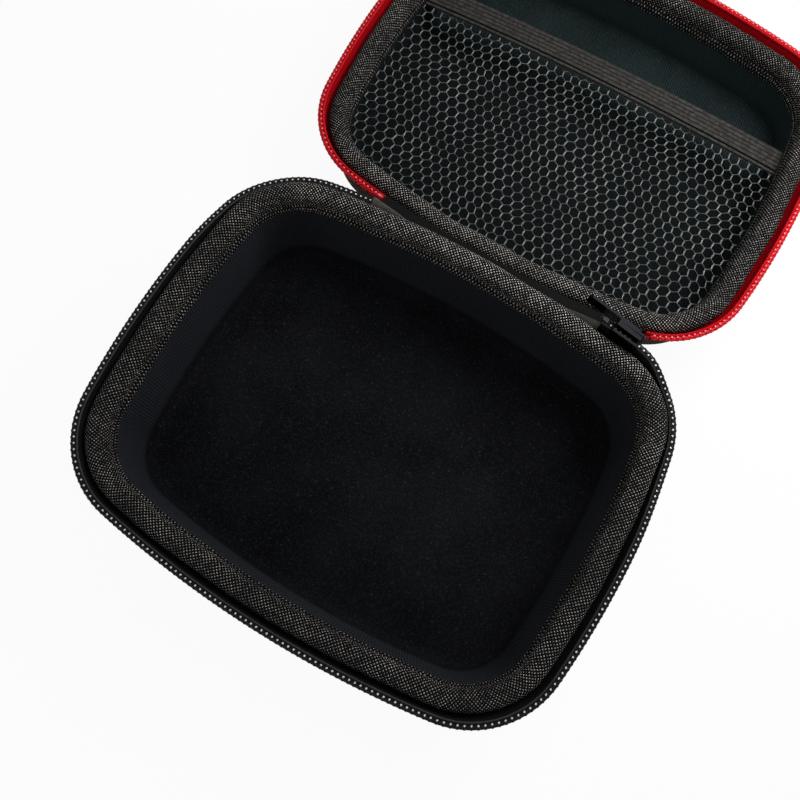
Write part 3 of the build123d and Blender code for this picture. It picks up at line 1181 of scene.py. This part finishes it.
    def binding_patch(self) -> Patch:
        """Rolled lip: its section carried round the rim, uneven by ripples and bulged out on two sides.

        Returns:
            The closed patch, its map crowded together low on the inside, where the weave is pulled.
        """
        face, face_spread = self.lip_face()
        section = np.vstack([face, self.lip_back()])
        weight, spread = np.zeros(len(section)), np.zeros(len(section))
        weight[: len(face)] = np.sin(np.pi * np.linspace(0, 1, len(face))) ** 0.5
        spread[: len(face)] = face_spread
        girth = self.rim.girth()
        along = self.rim.stations(self.lip_step)
        swell = ripple(along, girth, (6, 30), self.swell, self.seed)
        sway = ripple(along, girth, (5, 22), self.sway, self.seed + 1)
        _, normals = self.rim.at(along)
        corner = np.clip(normals @ np.array(self.right_corner), 0, 1) ** 5
        left = np.clip(-normals[:, 0], 0, 1) ** 1.5
        bulges = self.bulge + self.left_bulge * left + self.right_bulge * corner
        outwards = np.multiply.outer(sway, weight) + np.multiply.outer(bulges, spread)
        moves = np.stack([outwards, np.multiply.outer(swell, weight)], -1)
        ring = self.rim.band(section + [0, self.depth] + moves, self.lip_step, self.weave_repeat, closed=True)
        slow = lengths(face)[-1] - (self.lip_inside - self.crowd_from)
        across = ring.chart[:, 1]
        ring.chart[:, 1] = np.where(across > slow, slow + (across - slow) * self.crowd, across)
        return ring

    def zip_span(self, ends: tuple[float, float]) -> tuple[float, float]:
        """Distances along the rim between which the zip runs, from the x of its ends on the hinge side."""
        first, second = (self.rim.station(x) for x in ends)
        return max(first, second), self.rim.girth() + min(first, second)

    def slump(self, along: np.ndarray) -> np.ndarray:
        """Move of the chain's edge: whole at the zip's left end with a smooth rise, less in the right corner.

        Args:
            along: distances along the rim.

        Returns:
            Growth and rise at each distance, n by 2.
        """
        first, last = self.zip_span(self.zip_ends)
        start, end = along - first, last - along
        changes = ((start, self.slump_left), (end, self.slump_before), (end, self.slump_after))
        rise, before, after = (smooth(np.clip((far - low) / run, 0, 1)) for far, (low, run) in changes)
        share = self.slumps * (1 - rise + self.right_slump * before * (1 - after))
        return share[:, None] * np.array(self.slump_move)

    def tape_section(self) -> np.ndarray:
        """Section of the tape: a sewn leg on the wall, a flare out from it, and a round bead on its edge.

        Returns:
            Grow and height of the points in order.
        """
        d = self.depth
        low, foot, seam = d - self.sewn, d - self.flare_foot, d - self.lip_outside - self.seam_gap
        bead = d + self.chain_top - self.chain_height / 2
        shoulder = d - self.shoulder
        outer_leg = self.slanted(0.0, np.linspace(low, foot, 6))
        reach = self.bead_middle + self.bead_half
        outer_flare = np.linspace(outer_leg[-1], (reach - self.flare_trim, shoulder), 9)[1:]
        outer_flare[:, 0] += self.flare_sag * np.sin(np.pi * np.linspace(0, 1, 9)[1:])
        around = np.radians(np.linspace(-50, 230, 15))
        middle, half = self.bead_middle, self.bead_half
        knob = np.stack([middle + half * np.cos(around), bead + self.bead_rise * np.sin(around)], -1)
        inner_foot = self.slanted(self.inner_gap, np.array([foot + self.inner_rise]))[0]
        inner_flare = np.linspace((middle - half + self.inner_trim, shoulder), inner_foot, 9)
        inner_flare[:, 0] += self.inner_sag * np.sin(np.pi * np.linspace(0, 1, 9))
        stub = self.slanted(0.0, np.array([seam]))
        inner_leg = self.slanted(-self.cloth, np.linspace(seam, low, 8))
        return np.vstack([outer_leg, outer_flare, knob, inner_flare, stub, inner_leg])

    def tail_patch(self, end: float, way: int) -> Patch:
        """Bare tail of the tape past the zip's end: a thin flap along the lip that narrows to a tip.

        Its section is a lens about a line that leans out from the lip, shrunk by a power of what is left.

        Args:
            end: distance along the rim of the zip's end.
            way: 1 or -1, the direction away from the zip.

        Returns:
            The flap as a closed patch.
        """
        share = np.linspace(0, 1, 15)
        along = end + way * share * self.tail
        left = np.maximum((1 - share) ** self.tail_power, self.tail_least)
        foot = np.array([self.tail_foot[0], self.depth - self.tail_foot[1]])
        tip = np.array([self.bead_middle + self.tail_tip[0], self.depth - self.tail_tip[1]])
        across = np.linspace(0, 1, 8)
        line = foot + np.multiply.outer(left, across)[..., None] * (tip - foot)
        normal = np.array([-(tip - foot)[1], (tip - foot)[0]]) / np.linalg.norm(tip - foot)
        half = self.tail_half * np.sqrt(np.clip(1 - (2 * across - 1) ** 2, 0, 1))[None, :, None] * normal
        section = np.concatenate([line - half, (line + half)[:, -2:0:-1]], 1)
        order = slice(None) if way > 0 else slice(None, None, -1)
        chart = net_of(along[order], lengths(section[0], closed=True))
        return Patch.tube(self.rim.sweep(along[order], section[order]), chart).dressed(TapeFinish.TAIL)

    def stitch_patch(self) -> Patch:
        """Row of lockstitches on the tape's sewn leg: small capsules, half sunk, in line along the rim.

        Returns:
            The patch.
        """
        around = np.linspace(0, 2 * math.pi, 7)[:-1]
        stretch = np.array([-1.0, -0.85, 0.0, 0.85, 1.0]) * self.stitch_half
        girth = np.array([0.0, 0.8, 1.0, 0.8, 0.0]) * self.stitch_round
        ring = girth[:, None, None] * np.stack([np.cos(around), np.sin(around)], -1)
        points = np.concatenate([np.broadcast_to(stretch[:, None, None], (*ring.shape[:2], 1)), ring], -1)
        unit = Patch.grid(points, net_of(stretch, np.linspace(0, self.stitch_girth, 7)), wrap_v=True)
        first, last = self.zip_span(self.zip_ends)
        along = np.arange(first + self.stitch_margin, last - self.stitch_margin, self.stitch_pitch)
        height = self.depth - self.sewn + self.stitch_rise
        grow = -(self.depth - height) * DRAFT + self.stitch_proud
        spots, out, up = self.rim.spots(along, grow, height)
        return Patch.scatter(unit, spots, np.stack([np.cross(up, out), out, up], 1))

    def tape_patch(self) -> Patch:
        """Zip tape with its bead, its stitches, and the tails that the base's tape has past its ends.

        The part of the section that stands off the wall sinks with the chain, the more the higher it is.

        Returns:
            The patch, with a pale line along the bead in the third finish: a painted highlight.
        """
        first, last = self.zip_span(self.zip_ends)
        section = self.tape_section()
        loose = np.clip((section[:, 1] - self.depth + self.flare_foot) / self.flare_foot, 0, 1)
        loose = loose * (section[:, 0] > self.off_wall)
        along = np.linspace(first, last, max(2, round((last - first) / self.tape_step) + 1))
        band = self.rim.run(along, section + self.slump(along)[:, None] * loose[:, None])
        strip = band.finish[: (len(along) - 1) * len(section)].reshape(len(along) - 1, len(section))
        # Painted highlight: a pale line along the bead's top.
        strip[:, self.highlight_columns[0] : self.highlight_columns[1]] = TapeFinish.BEAD_HIGHLIGHT
        parts = [band, self.stitch_patch()]
        if self.tails:
            parts += [self.tail_patch(first - self.tail_gap, -1), self.tail_patch(last + self.tail_gap, 1)]
        return Patch.join(parts)

    def dome(self, along: float, out: float, up: float) -> Patch:
        """An ellipsoid: along * cos a * cos b, out * sin a and up * cos a * sin b, with a from end to end.

        Args:
            along: its half size along the chain.
            out: its half size across the chain.
            up: its half height.

        Returns:
            The closed patch about its own middle.
        """
        end = np.radians(np.array([-90, -68, -38, 0, 38, 68, 90]))[:, None]
        around = np.linspace(0, 2 * math.pi, 9)[:-1]
        wide, tall = along * np.cos(end) * np.cos(around), up * np.cos(end) * np.sin(around)
        points = np.stack([wide, np.broadcast_to(out * np.sin(end), wide.shape), tall], -1)
        chart = net_of(out * np.sin(end[:, 0]), np.linspace(0, self.crest_turn, 9))
        return Patch.grid(points, chart, wrap_v=True)

    def teeth_patch(self) -> Patch:
        """Row of domed teeth, close together, on a spine against the bead; the lid's row ends in a bare lump.

        Each tooth is two domes over each other and a head in front, whose map is moved off so that it gets no
        painted highlight spot.

        Returns:
            The patch.
        """
        first, last = self.zip_span(self.tooth_ends)
        count = round((last - first) / self.pitch)
        along = first + (np.arange(count) + 0.5) * (last - first) / count
        level = self.depth + self.chain_top - self.chain_height / 2
        fall = self.slump(along)
        spots, out, up = self.rim.spots(along, fall[:, :1], level + fall[:, 1:])
        axes = np.stack([np.cross(out, up), out, up], 1)
        middle = self.reach - self.tooth_out
        bump = self.dome(*self.tooth_half)
        lifts = (self.tooth_lift, -self.tooth_lift)
        rows = [Patch.scatter(bump, spots + middle * out + lift * up, axes) for lift in lifts]
        head = self.dome(*self.head_half)
        # The head's map moves off the painted highlight spot.
        head.chart[:, 0] += self.highlight_shift
        rows.append(Patch.scatter(head, spots + (self.reach - self.head_out) * out, axes))
        root = self.bead_middle + self.spine_root
        half = (self.reach - self.spine_back - root) / 2
        spine = np.array([root + half, level]) + arc((0, 0), 1, -90, 270, 17)[:-1] * [half, self.spine_rise]
        line = np.linspace(first, last, count + 1)
        rows.append(self.rim.run(line, spine + self.slump(line)[:, None]))
        if not self.tails:
            lump, out, up = self.rim.spots(np.array([last + self.lump_past]), middle, level)
            axes = np.stack([np.cross(out, up), out, up], 1)
            rows.append(Patch.scatter(self.dome(*self.lump_half), lump, axes))
        return Patch.join(rows)

    def build(self) -> list[bpy.types.Object]:
        """Makes this half's pieces, lets each stand for its node, and sets them riding on the half's body.

        Returns:
            The pieces.
        """
        cloths = self.cloths
        plan = [
            ("cover", "shell", self.cover_patch(), [cloths.cover]),
            ("inside", "lining", self.lining_patch(), [cloths.lining]),
            ("rolled_lip", "lip_binding", self.binding_patch(), [cloths.binding]),
            ("tape", "zip_tape", self.tape_patch(), [cloths.tape, cloths.tail, cloths.edge]),
            ("teeth", "zip_teeth", self.teeth_patch(), [cloths.teeth]),
        ]
        made = []
        for part, node, patch, finishes in plan:
            piece = patch.piece(f"{self.name}_{part}", finishes)
            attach(piece, self.name)
            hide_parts(f"{self.name}_{node}")
            made.append(piece)
        return made


@dataclass(frozen=True)
class Pocket:
    """Net pocket in the lid: knitted net sewn in on three sides, with an elastic band along its mouth."""

    rim: Rim
    thread: Finish
    # The doubled strands' finish is the thread painted paler, as a painted highlight.
    doubled: Finish
    band: Finish
    level: float = 19.3 * MM
    inset: float = 7.0 * MM
    mouth: float = 20.3 * MM
    pitch: float = 3.75 * MM
    strand: float = 0.14 * MM
    bow: float = 1.9 * MM
    bow_fall: float = 1.6
    lean: float = 1.6 * MM
    sag: float = 1.4 * MM
    sag_half: float = 70 * MM
    sag_foot: float = 58 * MM
    sag_run: float = 30 * MM
    cover: float = 0.45
    pull: float = 38 * MM
    drift: Triple = (0.7 * MM, 0.8 * MM, 0.3 * MM)
    columns: tuple[int, int] = (-24, 25)
    rows: tuple[int, int] = (-26, 12)
    bearings: int = 12
    thread_fit: float = 6.9
    ply: float = 0.8
    hem: float = 1.3 * MM
    hem_rise: float = 0.5 * MM
    groove: float = 1.5 * MM
    elastic: float = 8.2 * MM
    elastic_rib: float = 1.64 * MM
    rib_rise: float = 0.1 * MM
    elastic_least: float = 0.04 * MM
    elastic_lift: float = 0.15 * MM
    elastic_sink: float = 0.35 * MM
    overlap: float = 1.0 * MM

    def mouth_line(self, x: np.ndarray) -> np.ndarray:
        """How far the mouth lies past its mean line: a bow over the middle and a lean to the left, by x."""
        share = x / (self.rim.length / 2)
        return self.bow * (1 - self.bow_fall * share**2) + self.lean * share

    def edge(self, x: np.ndarray, y: np.ndarray) -> np.ndarray:
        """Share by which a plan point has to shrink towards the lid's middle to lie inside the pocket's edge.

        Args:
            x: plan places along the hinge, from the lid's middle.
            y: plan places across it.

        Returns:
            Shares, at most 1.
        """
        along = np.linspace(0, self.rim.girth(), 3000)
        place, normal = self.rim.at(along)
        line = place - self.inset * normal - [0, self.rim.centre_y]
        bearing = np.unwrap(np.arctan2(line[:, 1], line[:, 0]))
        start = bearing[0]
        wanted = start + np.mod(np.arctan2(y, x) - start, 2 * math.pi)
        limit = np.interp(wanted, bearing, np.hypot(line[:, 0], line[:, 1]))
        return np.minimum(1.0, limit / np.maximum(np.hypot(x, y), 1e-9))

    def cell(self) -> tuple[np.ndarray, np.ndarray]:
        """One cell's ring of thread, seen at its bearings: from the cell's side in to the gap and back below.

        Strands along the case are doubled, so they are wider and have a groove.

        Returns:
            Plan offsets, bearings by 5 by 2, and lifts as shares of the strand, bearings by 5.
        """
        index = np.arange(self.bearings)
        bearing = np.radians(index * 360.0 / self.bearings)
        at_side = index % 2 == 0
        doubled = np.isin(index, (0, self.bearings // 2))
        apothem = self.pitch / 2
        side = np.where(at_side, apothem, apothem / math.cos(math.radians(30)))
        gap = np.where(doubled, apothem - 1.8 * self.strand, apothem - self.strand)
        gap = np.where(at_side, gap, side - 1.7 * self.strand)
        share = np.array([0.0, 0.45, 1.0, 0.45, 0.0])
        rise = np.array([1.0, 0.9, 0.0, -0.9, -1.0])
        groove = np.where(doubled, 0.35, np.where(at_side, 1.0, 0.85))
        lift = np.where(np.isin(np.arange(5), (0, 4))[None], rise[None] * groove[:, None], rise[None])
        radius = side[:, None] + (gap - side)[:, None] * share
        way = np.stack([np.cos(bearing), np.sin(bearing)], -1)[:, None]
        return radius[..., None] * way, lift

    def net_patch(self) -> Patch:
        """Net: six-sided cells side by side, each a ring of rounded thread, top and bottom.

        The sheet is pulled about by slow sines, hangs a little, and is cut at the pocket's edge, where its
        faces close.

        Returns:
            The patch, its doubled strands in the second finish, which is the thread painted paler as a
            painted highlight.
        """
        row = self.pitch * math.sqrt(3) / 2
        i, j = np.meshgrid(np.arange(*self.columns), np.arange(*self.rows), indexing="ij")
        middle = np.stack([(i + 0.5 * (j % 2)) * self.pitch, j * row], -1).reshape(-1, 1, 1, 2)
        offsets, lift = self.cell()
        spot = middle + offsets
        x, y = spot[..., 0], spot[..., 1]
        wave = 2 * math.pi / self.pull
        slow_x, slow_y, quick = self.drift
        dx = slow_x * np.sin(wave * (0.7 * x + 1.1 * y) + 0.6) + quick * np.sin(wave * 2.3 * y + 1.7)
        dy = slow_y * np.sin(wave * (1.0 * x - 0.6 * y) + 2.1) + quick * np.sin(wave * 1.9 * x + 0.3)
        x, y = x + dx, y + dy
        top = self.mouth + self.mouth_line(x)
        inside = (self.edge(x, y) >= 1) & (y < top)
        kept = inside.reshape(len(x), -1).any(1)
        x, y, top, inside = x[kept], y[kept], top[kept], inside[kept]
        y = np.minimum(y, top)
        shrink = self.edge(x, y)
        x, y = x * shrink, y * shrink
        sideways = np.clip((1 - np.abs(x) / self.sag_half) * 3, 0, 1)
        near = sideways * np.clip((y + self.sag_foot) / self.sag_run, 0, 1)
        hang = self.sag * near * (0.75 + 0.25 * np.sin(wave * 0.8 * x + 0.9 * wave * y))
        z = self.level - hang + np.where(inside, lift * self.strand * 0.95, 0.0)
        points = np.stack([x, y + self.rim.centre_y, z], -1)
        count, sides, rings = points.shape[:3]
        unit = np.arange(sides * rings).reshape(sides, rings)
        around, ring = np.meshgrid(np.arange(sides), np.arange(rings - 1), indexing="ij")
        turn = (around + 1) % sides
        turns = ((around, ring), (around, ring + 1), (turn, ring + 1), (turn, ring))
        quad = np.stack([unit[a, b] for a, b in turns], -1)
        corners = quad.reshape(1, -1) + unit.size * np.arange(count)[:, None]
        u = np.stack([around, around, around + 1, around + 1], -1) * self.pitch / self.thread_fit
        v = np.stack([ring, ring + 1, ring + 1, ring], -1) * self.strand * self.ply
        chart = np.tile(np.stack([u, v], -1).reshape(-1, 2), (count, 1))
        opposite = sides // 2
        doubled = np.isin(around, (sides - 1, 0, opposite - 1, opposite))
        finish = np.tile(doubled.reshape(-1).astype(int), count)
        sizes = np.full(count * around.size, 4)
        return Patch(points.reshape(-1, 3), corners.reshape(-1), sizes, chart, finish)

    def band_patch(self) -> Patch:
        """Elastic: a rolled hem, a sewn groove and a ribbed band side by side, carried along the bowed mouth.

        Returns:
            The closed patch.
        """
        half_hem = self.hem / 2
        far = self.groove + self.elastic
        q = np.concatenate([np.linspace(0, self.hem, 9), np.linspace(self.groove, far, 42)])
        hem = self.hem_rise * np.sqrt(np.clip(1 - ((q - half_hem) / half_hem) ** 2, 0, 1))
        t = np.clip((q - self.groove) / self.elastic, 0, 1)
        ribs = self.rib_rise * np.abs(np.sin(np.pi * (q - self.groove) / self.elastic_rib))
        band = (self.hem_rise * np.clip(t * (1 - t) * 40, 0, 1) ** 0.5 + ribs) * (t > 0)
        rise = np.maximum(hem, band) + self.elastic_least
        over, under = np.stack([q, rise], -1), np.stack([q, -0.6 * rise], -1)
        section = np.vstack([over[::-1], under])
        share = np.linspace(-1, 1, 121)
        across = self.mouth - self.overlap + section[:, 0]
        offset = self.rim.short_radius - self.rim.length / 2
        ends = np.sqrt((self.rim.short_radius - self.inset) ** 2 - across**2) - offset
        x = share[:, None] * ends
        y = across + self.mouth_line(x)
        sink = self.elastic_sink * np.sin(np.pi * (share + 1) / 2)[:, None]
        z = self.level + self.elastic_lift - sink + section[:, 1]
        points = np.stack([x, y + self.rim.centre_y, np.broadcast_to(z, x.shape)], -1)
        chart = net_of(share * self.rim.length / 2, np.append(section[:, 0], section[0, 0]))
        return Patch.tube(points, chart)

    def build(self) -> list[bpy.types.Object]:
        """Makes the net and the elastic, which ride on the lid.

        Returns:
            The pieces.
        """
        net = self.net_patch().piece("pocket_mesh", [self.thread, self.doubled], 80)
        band = self.band_patch().piece("pocket_band", [self.band])
        for piece, node, finish in ((net, "pocket_net", self.thread), (band, "pocket_elastic", self.band)):
            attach(piece, "lid")
            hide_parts(node)
        width, length = self.rim.length - 2 * self.inset, self.rim.width / 2 - self.inset + self.mouth
        area = self.cover * width * length
        LOG.info("pocket net: %.1f x %.1f mm flat, %.0f mm2 of thread", width / MM, length / MM, area / MM**2)
        return [net, band]


@dataclass(frozen=True)
class Hinge:
    """Fabric strip between the halves: up the base's wall, over a fold and a gap, down the lid's wall."""

    base: Rim
    lid: Rim
    cloth: Finish
    left: float = -38.6 * MM
    right: float = 40.65 * MM
    base_seam: float = 35.9 * MM
    lid_seam: float = 23.4 * MM
    sewn: float = 7 * MM
    fold: float = 1.2 * MM
    thick: float = 0.7 * MM
    wall_inset: float = 0.917 * MM
    clear: float = 0.4 * MM
    lip_clear: float = 1.75 * MM
    drop: float = 1 * MM
    tuck: float = 3 * MM
    square: float = 0.8
    bend_from: Triple = (0, 0.0644, 0.03)
    bend_to: Triple = (0, 0.0676, 0.03)

    def strip_patch(self) -> tuple[Patch, float]:
        """The strip as a closed sheet.

        At each x the middle line is a leg up the base's wall, a quarter arc over the fold, a quarter
        superellipse that leaves level near the hinge's axis and then drops along the lid's lip, a smooth
        step in to the lid's wall, and a leg down it. The sheet lies half its thickness to either side.

        Returns:
            The patch and the strip's mean length along its section.
        """
        x = np.linspace(self.left, self.right, 61)
        bow = np.sqrt(self.base.long_radius**2 - x**2) - (self.base.long_radius - self.base.width / 2)
        wall = (bow - self.wall_inset)[:, None]
        far = self.lid.centre_y - wall
        t = np.linspace(0, 1, 9)
        fold_y, fold_z = wall + self.clear + self.fold, self.base_seam - self.clear - self.fold
        low = self.base_seam - self.sewn
        leg_up = (wall + self.clear, low + (fold_z - low) * t[:-1])
        quarter = np.radians(180 - 90 * t)
        over = (fold_y + self.fold * np.cos(quarter), fold_z + self.fold * np.sin(quarter))
        phase = np.radians(np.linspace(0, 90, 33)[1:])
        drop_y, drop_z = far - self.lip_clear, self.lid_seam - self.drop
        across_y = fold_y + (drop_y - fold_y) * np.sin(phase) ** self.square
        across_z = drop_z + (fold_z + self.fold - drop_z) * np.abs(np.cos(phase)) ** self.square
        in_y = drop_y + (self.lip_clear - self.clear) * smooth(t[1:])
        in_z = drop_z - self.tuck * t[1:]
        leg_down = (far - self.clear, in_z[-1] + (self.lid_seam - self.sewn - in_z[-1]) * t[1:])
        runs = (leg_up, over, (across_y, across_z), (in_y, in_z), leg_down)
        column = np.zeros((len(x), 1))
        line = np.concatenate([np.stack(np.broadcast_arrays(y + column, z + column), -1) for y, z in runs], 1)
        pull = np.gradient(line, axis=1)
        pull /= np.linalg.norm(pull, axis=-1, keepdims=True)
        out = np.stack([-pull[..., 1], pull[..., 0]], -1) * self.thick / 2
        loop = np.concatenate([line + out, (line - out)[:, ::-1]], 1)
        points = np.concatenate([np.broadcast_to(x[:, None, None], (*loop.shape[:2], 1)), loop], -1)
        chart = net_of(x, lengths(loop[len(x) // 2], closed=True))
        mean = float(np.linalg.norm(np.diff(line, axis=1), axis=-1).sum(1).mean())
        return Patch.tube(points, chart).flipped(), mean

    def build(self) -> bpy.types.Object:
        """Returns:
            The strip.
        """
        patch, length = self.strip_patch()
        strip = patch.piece("hinge_fold", [self.cloth])
        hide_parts("hinge_strip")
        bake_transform(strip)
        width = self.right - self.left
        LOG.info("hinge strip: %.1f x %.1f mm flat", width / MM, length / MM)
        return strip


@dataclass(frozen=True)
class Slider:
    """The zip's small hard parts, which keep their nodes' shapes."""

    metal: Finish
    nylon: Finish

    def dress(self) -> None:
        """Gives the slider and pull dark metal, and the stop nylon."""
        plan = {"zip_slider": self.metal, "zip_pull": self.metal, "zip_bottom_stop": self.nylon}
        for node, finish in plan.items():
            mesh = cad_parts[node].data
            mesh.materials.clear()
            mesh.materials.append(finish.material())
            LOG.info("%s dressed with %s", node, finish.name)


@dataclass(frozen=True)
class Lamp:
    """A square soft lamp: where it stands in metres, its side, and its power in watts."""

    name: str
    place: Triple
    size: float
    power: float

    def build(self, target: Vector) -> None:
        """Adds the lamp, hidden from the camera.

        Args:
            target: the point that it looks at.
        """
        data = bpy.data.lights.new(self.name, "AREA")
        data.size = self.size
        data.energy = self.power
        made = bpy.data.objects.new(self.name, data)
        made.location = self.place
        made.visible_camera = False
        made.rotation_euler = (target - made.location).to_track_quat("-Z", "Y").to_euler()
        bpy.context.scene.collection.objects.link(made)


@dataclass(frozen=True)
class Studio:
    """Pale floor, soft lamps, white surround and a camera, given by its place and right, up and back axes."""

    lens: float = 34.44
    sensor: float = 36.0
    place: Vector = Vector((26.017, -37.329, 261.562)) * MM
    right: Vector = Vector((0.85907, 0.51166, 0.01427))
    up: Vector = Vector((-0.50031, 0.83347, 0.23455))
    back: Vector = Vector((0.10812, -0.20863, 0.972))
    nearest: float = 0.01
    surround: float = 0.18
    floor_half: float = 2.5
    floor_level: float = -0.2 * MM
    floor_glow: float = 0.94
    target: Vector = Vector((0.0, 0.06, 0.03))
    lamps: tuple[Lamp, ...] = (
        Lamp("key", (0.09, 0.18, 0.2), 0.14, 0.5),
        Lamp("softbox", (0.1, 0.35, 0.9), 0.9, 1.45),
        Lamp("fill", (-0.05, -0.4, 0.42), 0.4, 0.6),
    )

    def floor(self) -> bpy.types.Object:
        """Pale floor just under the case, which shows white to the camera and keeps part of the shadow.

        Returns:
            The floor.
        """
        h, level = self.floor_half, self.floor_level
        mesh = bpy.data.meshes.new("floor")
        mesh.from_pydata([(-h, -h, level), (h, -h, level), (h, h, level), (-h, h, level)], [], [(0, 1, 2, 3)])
        c = Canvas(bpy.data.materials.new("pale_floor"))
        paint = c.tree.nodes["Principled BSDF"]
        tone = c.mix(c.noise(4 * MM, 2.0), (0.88, 0.88, 0.88), (0.92, 0.92, 0.92))
        c.feed(paint, {"Base Color": tone, "Roughness": 0.9})
        glow = c.node("ShaderNodeEmission", {}, {"Color": (1, 1, 1, 1), "Strength": 1.0})
        share = c.shown() * self.floor_glow
        both = c.node("ShaderNodeMixShader", {}, {0: share, 1: paint.outputs[0], 2: glow.outputs[0]})
        c.feed(c.tree.nodes["Material Output"], {"Surface": both.outputs[0]})
        mesh.materials.append(c.owner)
        made = bpy.data.objects.new("floor", mesh)
        bpy.context.scene.collection.objects.link(made)
        return made

    def world(self) -> None:
        """White to the camera, and a plain pale light for everything else."""
        world = bpy.data.worlds.new("surround")
        bpy.context.scene.world = world
        c = Canvas(world)
        strength = c.shown() * (1 - self.surround) + self.surround
        c.feed(c.tree.nodes["Background"], {"Color": (1, 1, 1, 1), "Strength": strength})

    def camera(self) -> None:
        """Camera at the photograph's viewing angle."""
        data = bpy.data.cameras.new("camera")
        data.lens = self.lens
        data.sensor_width = self.sensor
        data.clip_start = self.nearest
        made = bpy.data.objects.new("camera", data)
        turn = Matrix((self.right, self.up, self.back)).transposed().to_4x4()
        made.matrix_world = Matrix.Translation(self.place) @ turn
        bpy.context.scene.collection.objects.link(made)
        bpy.context.scene.camera = made

    def build(self) -> None:
        """Sets the whole studio up."""
        bpy.context.scene.view_settings.view_transform = "Standard"
        self.floor()
        self.world()
        for lamp in self.lamps:
            lamp.build(self.target)
        self.camera()
        LOG.info("studio set")


def main() -> None:
    """Builds the studio, the halves, the pocket, the hinge and the slider."""
    logging.basicConfig(level=logging.INFO, format="%(message)s")
    cover = PlainWeave("woven_cover", (0.009, 0.009, 0.01), (0.075, 0.073, 0.07), show=0.7)
    # The binding's dots near the hinge are made paler as painted light.
    binding = PlainWeave("woven_binding", (0.0025, 0.0025, 0.003), (0.64, 0.6, 0.55), hinge_light=0.9)
    tail = SmoothCloth("tape_tail", (0.06, 0.057, 0.052), (0.125, 0.119, 0.109))
    # The third colour of each nylon is its painted highlight.
    black_teeth = Nylon("black_teeth", (0.003, 0.003, 0.0035), (0.006, 0.006, 0.007), (0.85, 0.85, 0.85))
    # The lid's knit is darker under the net by a painted shadow.
    lid_knit = RibKnit(
        "lid_knit", (0.0018, 0.0025, 0.0026), (0.022, 0.035, 0.036),
        floor_ribs=0.7, net_edge=153 * MM, net_shade=0.75,
    )
    base_cloths = HalfCloths(
        cover=cover,
        binding=binding,
        lining=RibKnit("base_knit", (0.002, 0.0022, 0.0028), (0.022, 0.0235, 0.029)),
        tape=Tape("black_tape", (0.003, 0.003, 0.003), (0.01, 0.01, 0.01)),
        tail=tail,
        # Pale grey line on the bead: a painted highlight.
        edge=Tape("grey_bead_highlight", (0.015, 0.015, 0.015), (0.075, 0.075, 0.075)),
        teeth=black_teeth,
    )
    lid_cloths = HalfCloths(
        cover=cover,
        binding=binding,
        lining=lid_knit,
        tape=Tape("red_tape", (0.28, 0.0015, 0.004), (0.52, 0.003, 0.009)),
        tail=tail,
        # Lighter red line on the bead: a painted highlight.
        edge=Tape("red_bead_highlight", (0.4, 0.004, 0.008), (0.7, 0.02, 0.03)),
        # Pink third colour: the red teeth's painted highlight.
        teeth=Nylon("red_teeth", (0.42, 0.002, 0.006), (0.6, 0.004, 0.012), (0.9, 0.3, 0.32)),
    )
    base = Half(
        "base", Rim(Hinged.BEHIND, 0.0), depth=41 * MM, zip_ends=(-39.5 * MM, 41.55 * MM),
        tooth_ends=(-39.5 * MM, 43.45 * MM), tails=True, slumps=1.0, cloths=base_cloths, seed=11,
        left_bulge=0.9 * MM, right_bulge=0.9 * MM,
    )
    lid = Half(
        "lid", Rim(Hinged.AHEAD, 132.35 * MM), depth=28.5 * MM, zip_ends=(-39.5 * MM, 56 * MM),
        tooth_ends=(-42 * MM, 57.5 * MM), tails=False, slumps=0.0, cloths=lid_cloths, seed=23,
    )
    Studio().build()
    base.build()
    lid.build()
    thread = NetThread("net_thread", (0.025, 0.025, 0.025), (0.15, 0.15, 0.147))
    # The doubled strands are the same thread painted paler: a painted highlight.
    doubled = NetThread("net_thread_doubled_highlight", (0.05, 0.05, 0.049), (0.36, 0.36, 0.35))
    elastic = RibbedElastic("elastic", (0.0024, 0.0022, 0.002), (0.051, 0.047, 0.043))
    Pocket(lid.rim, thread, doubled, elastic).build()
    cloth = SmoothCloth("hinge_fabric", (0.0014, 0.0014, 0.0016), (0.0042, 0.0042, 0.0046))
    Hinge(base.rim, lid.rim, cloth).build()
    metal = DarkMetal("dark_metal", (0.003, 0.0032, 0.0036), (0.0075, 0.008, 0.009))
    Slider(metal, black_teeth).dress()


if __name__ == "__main__":
    main()
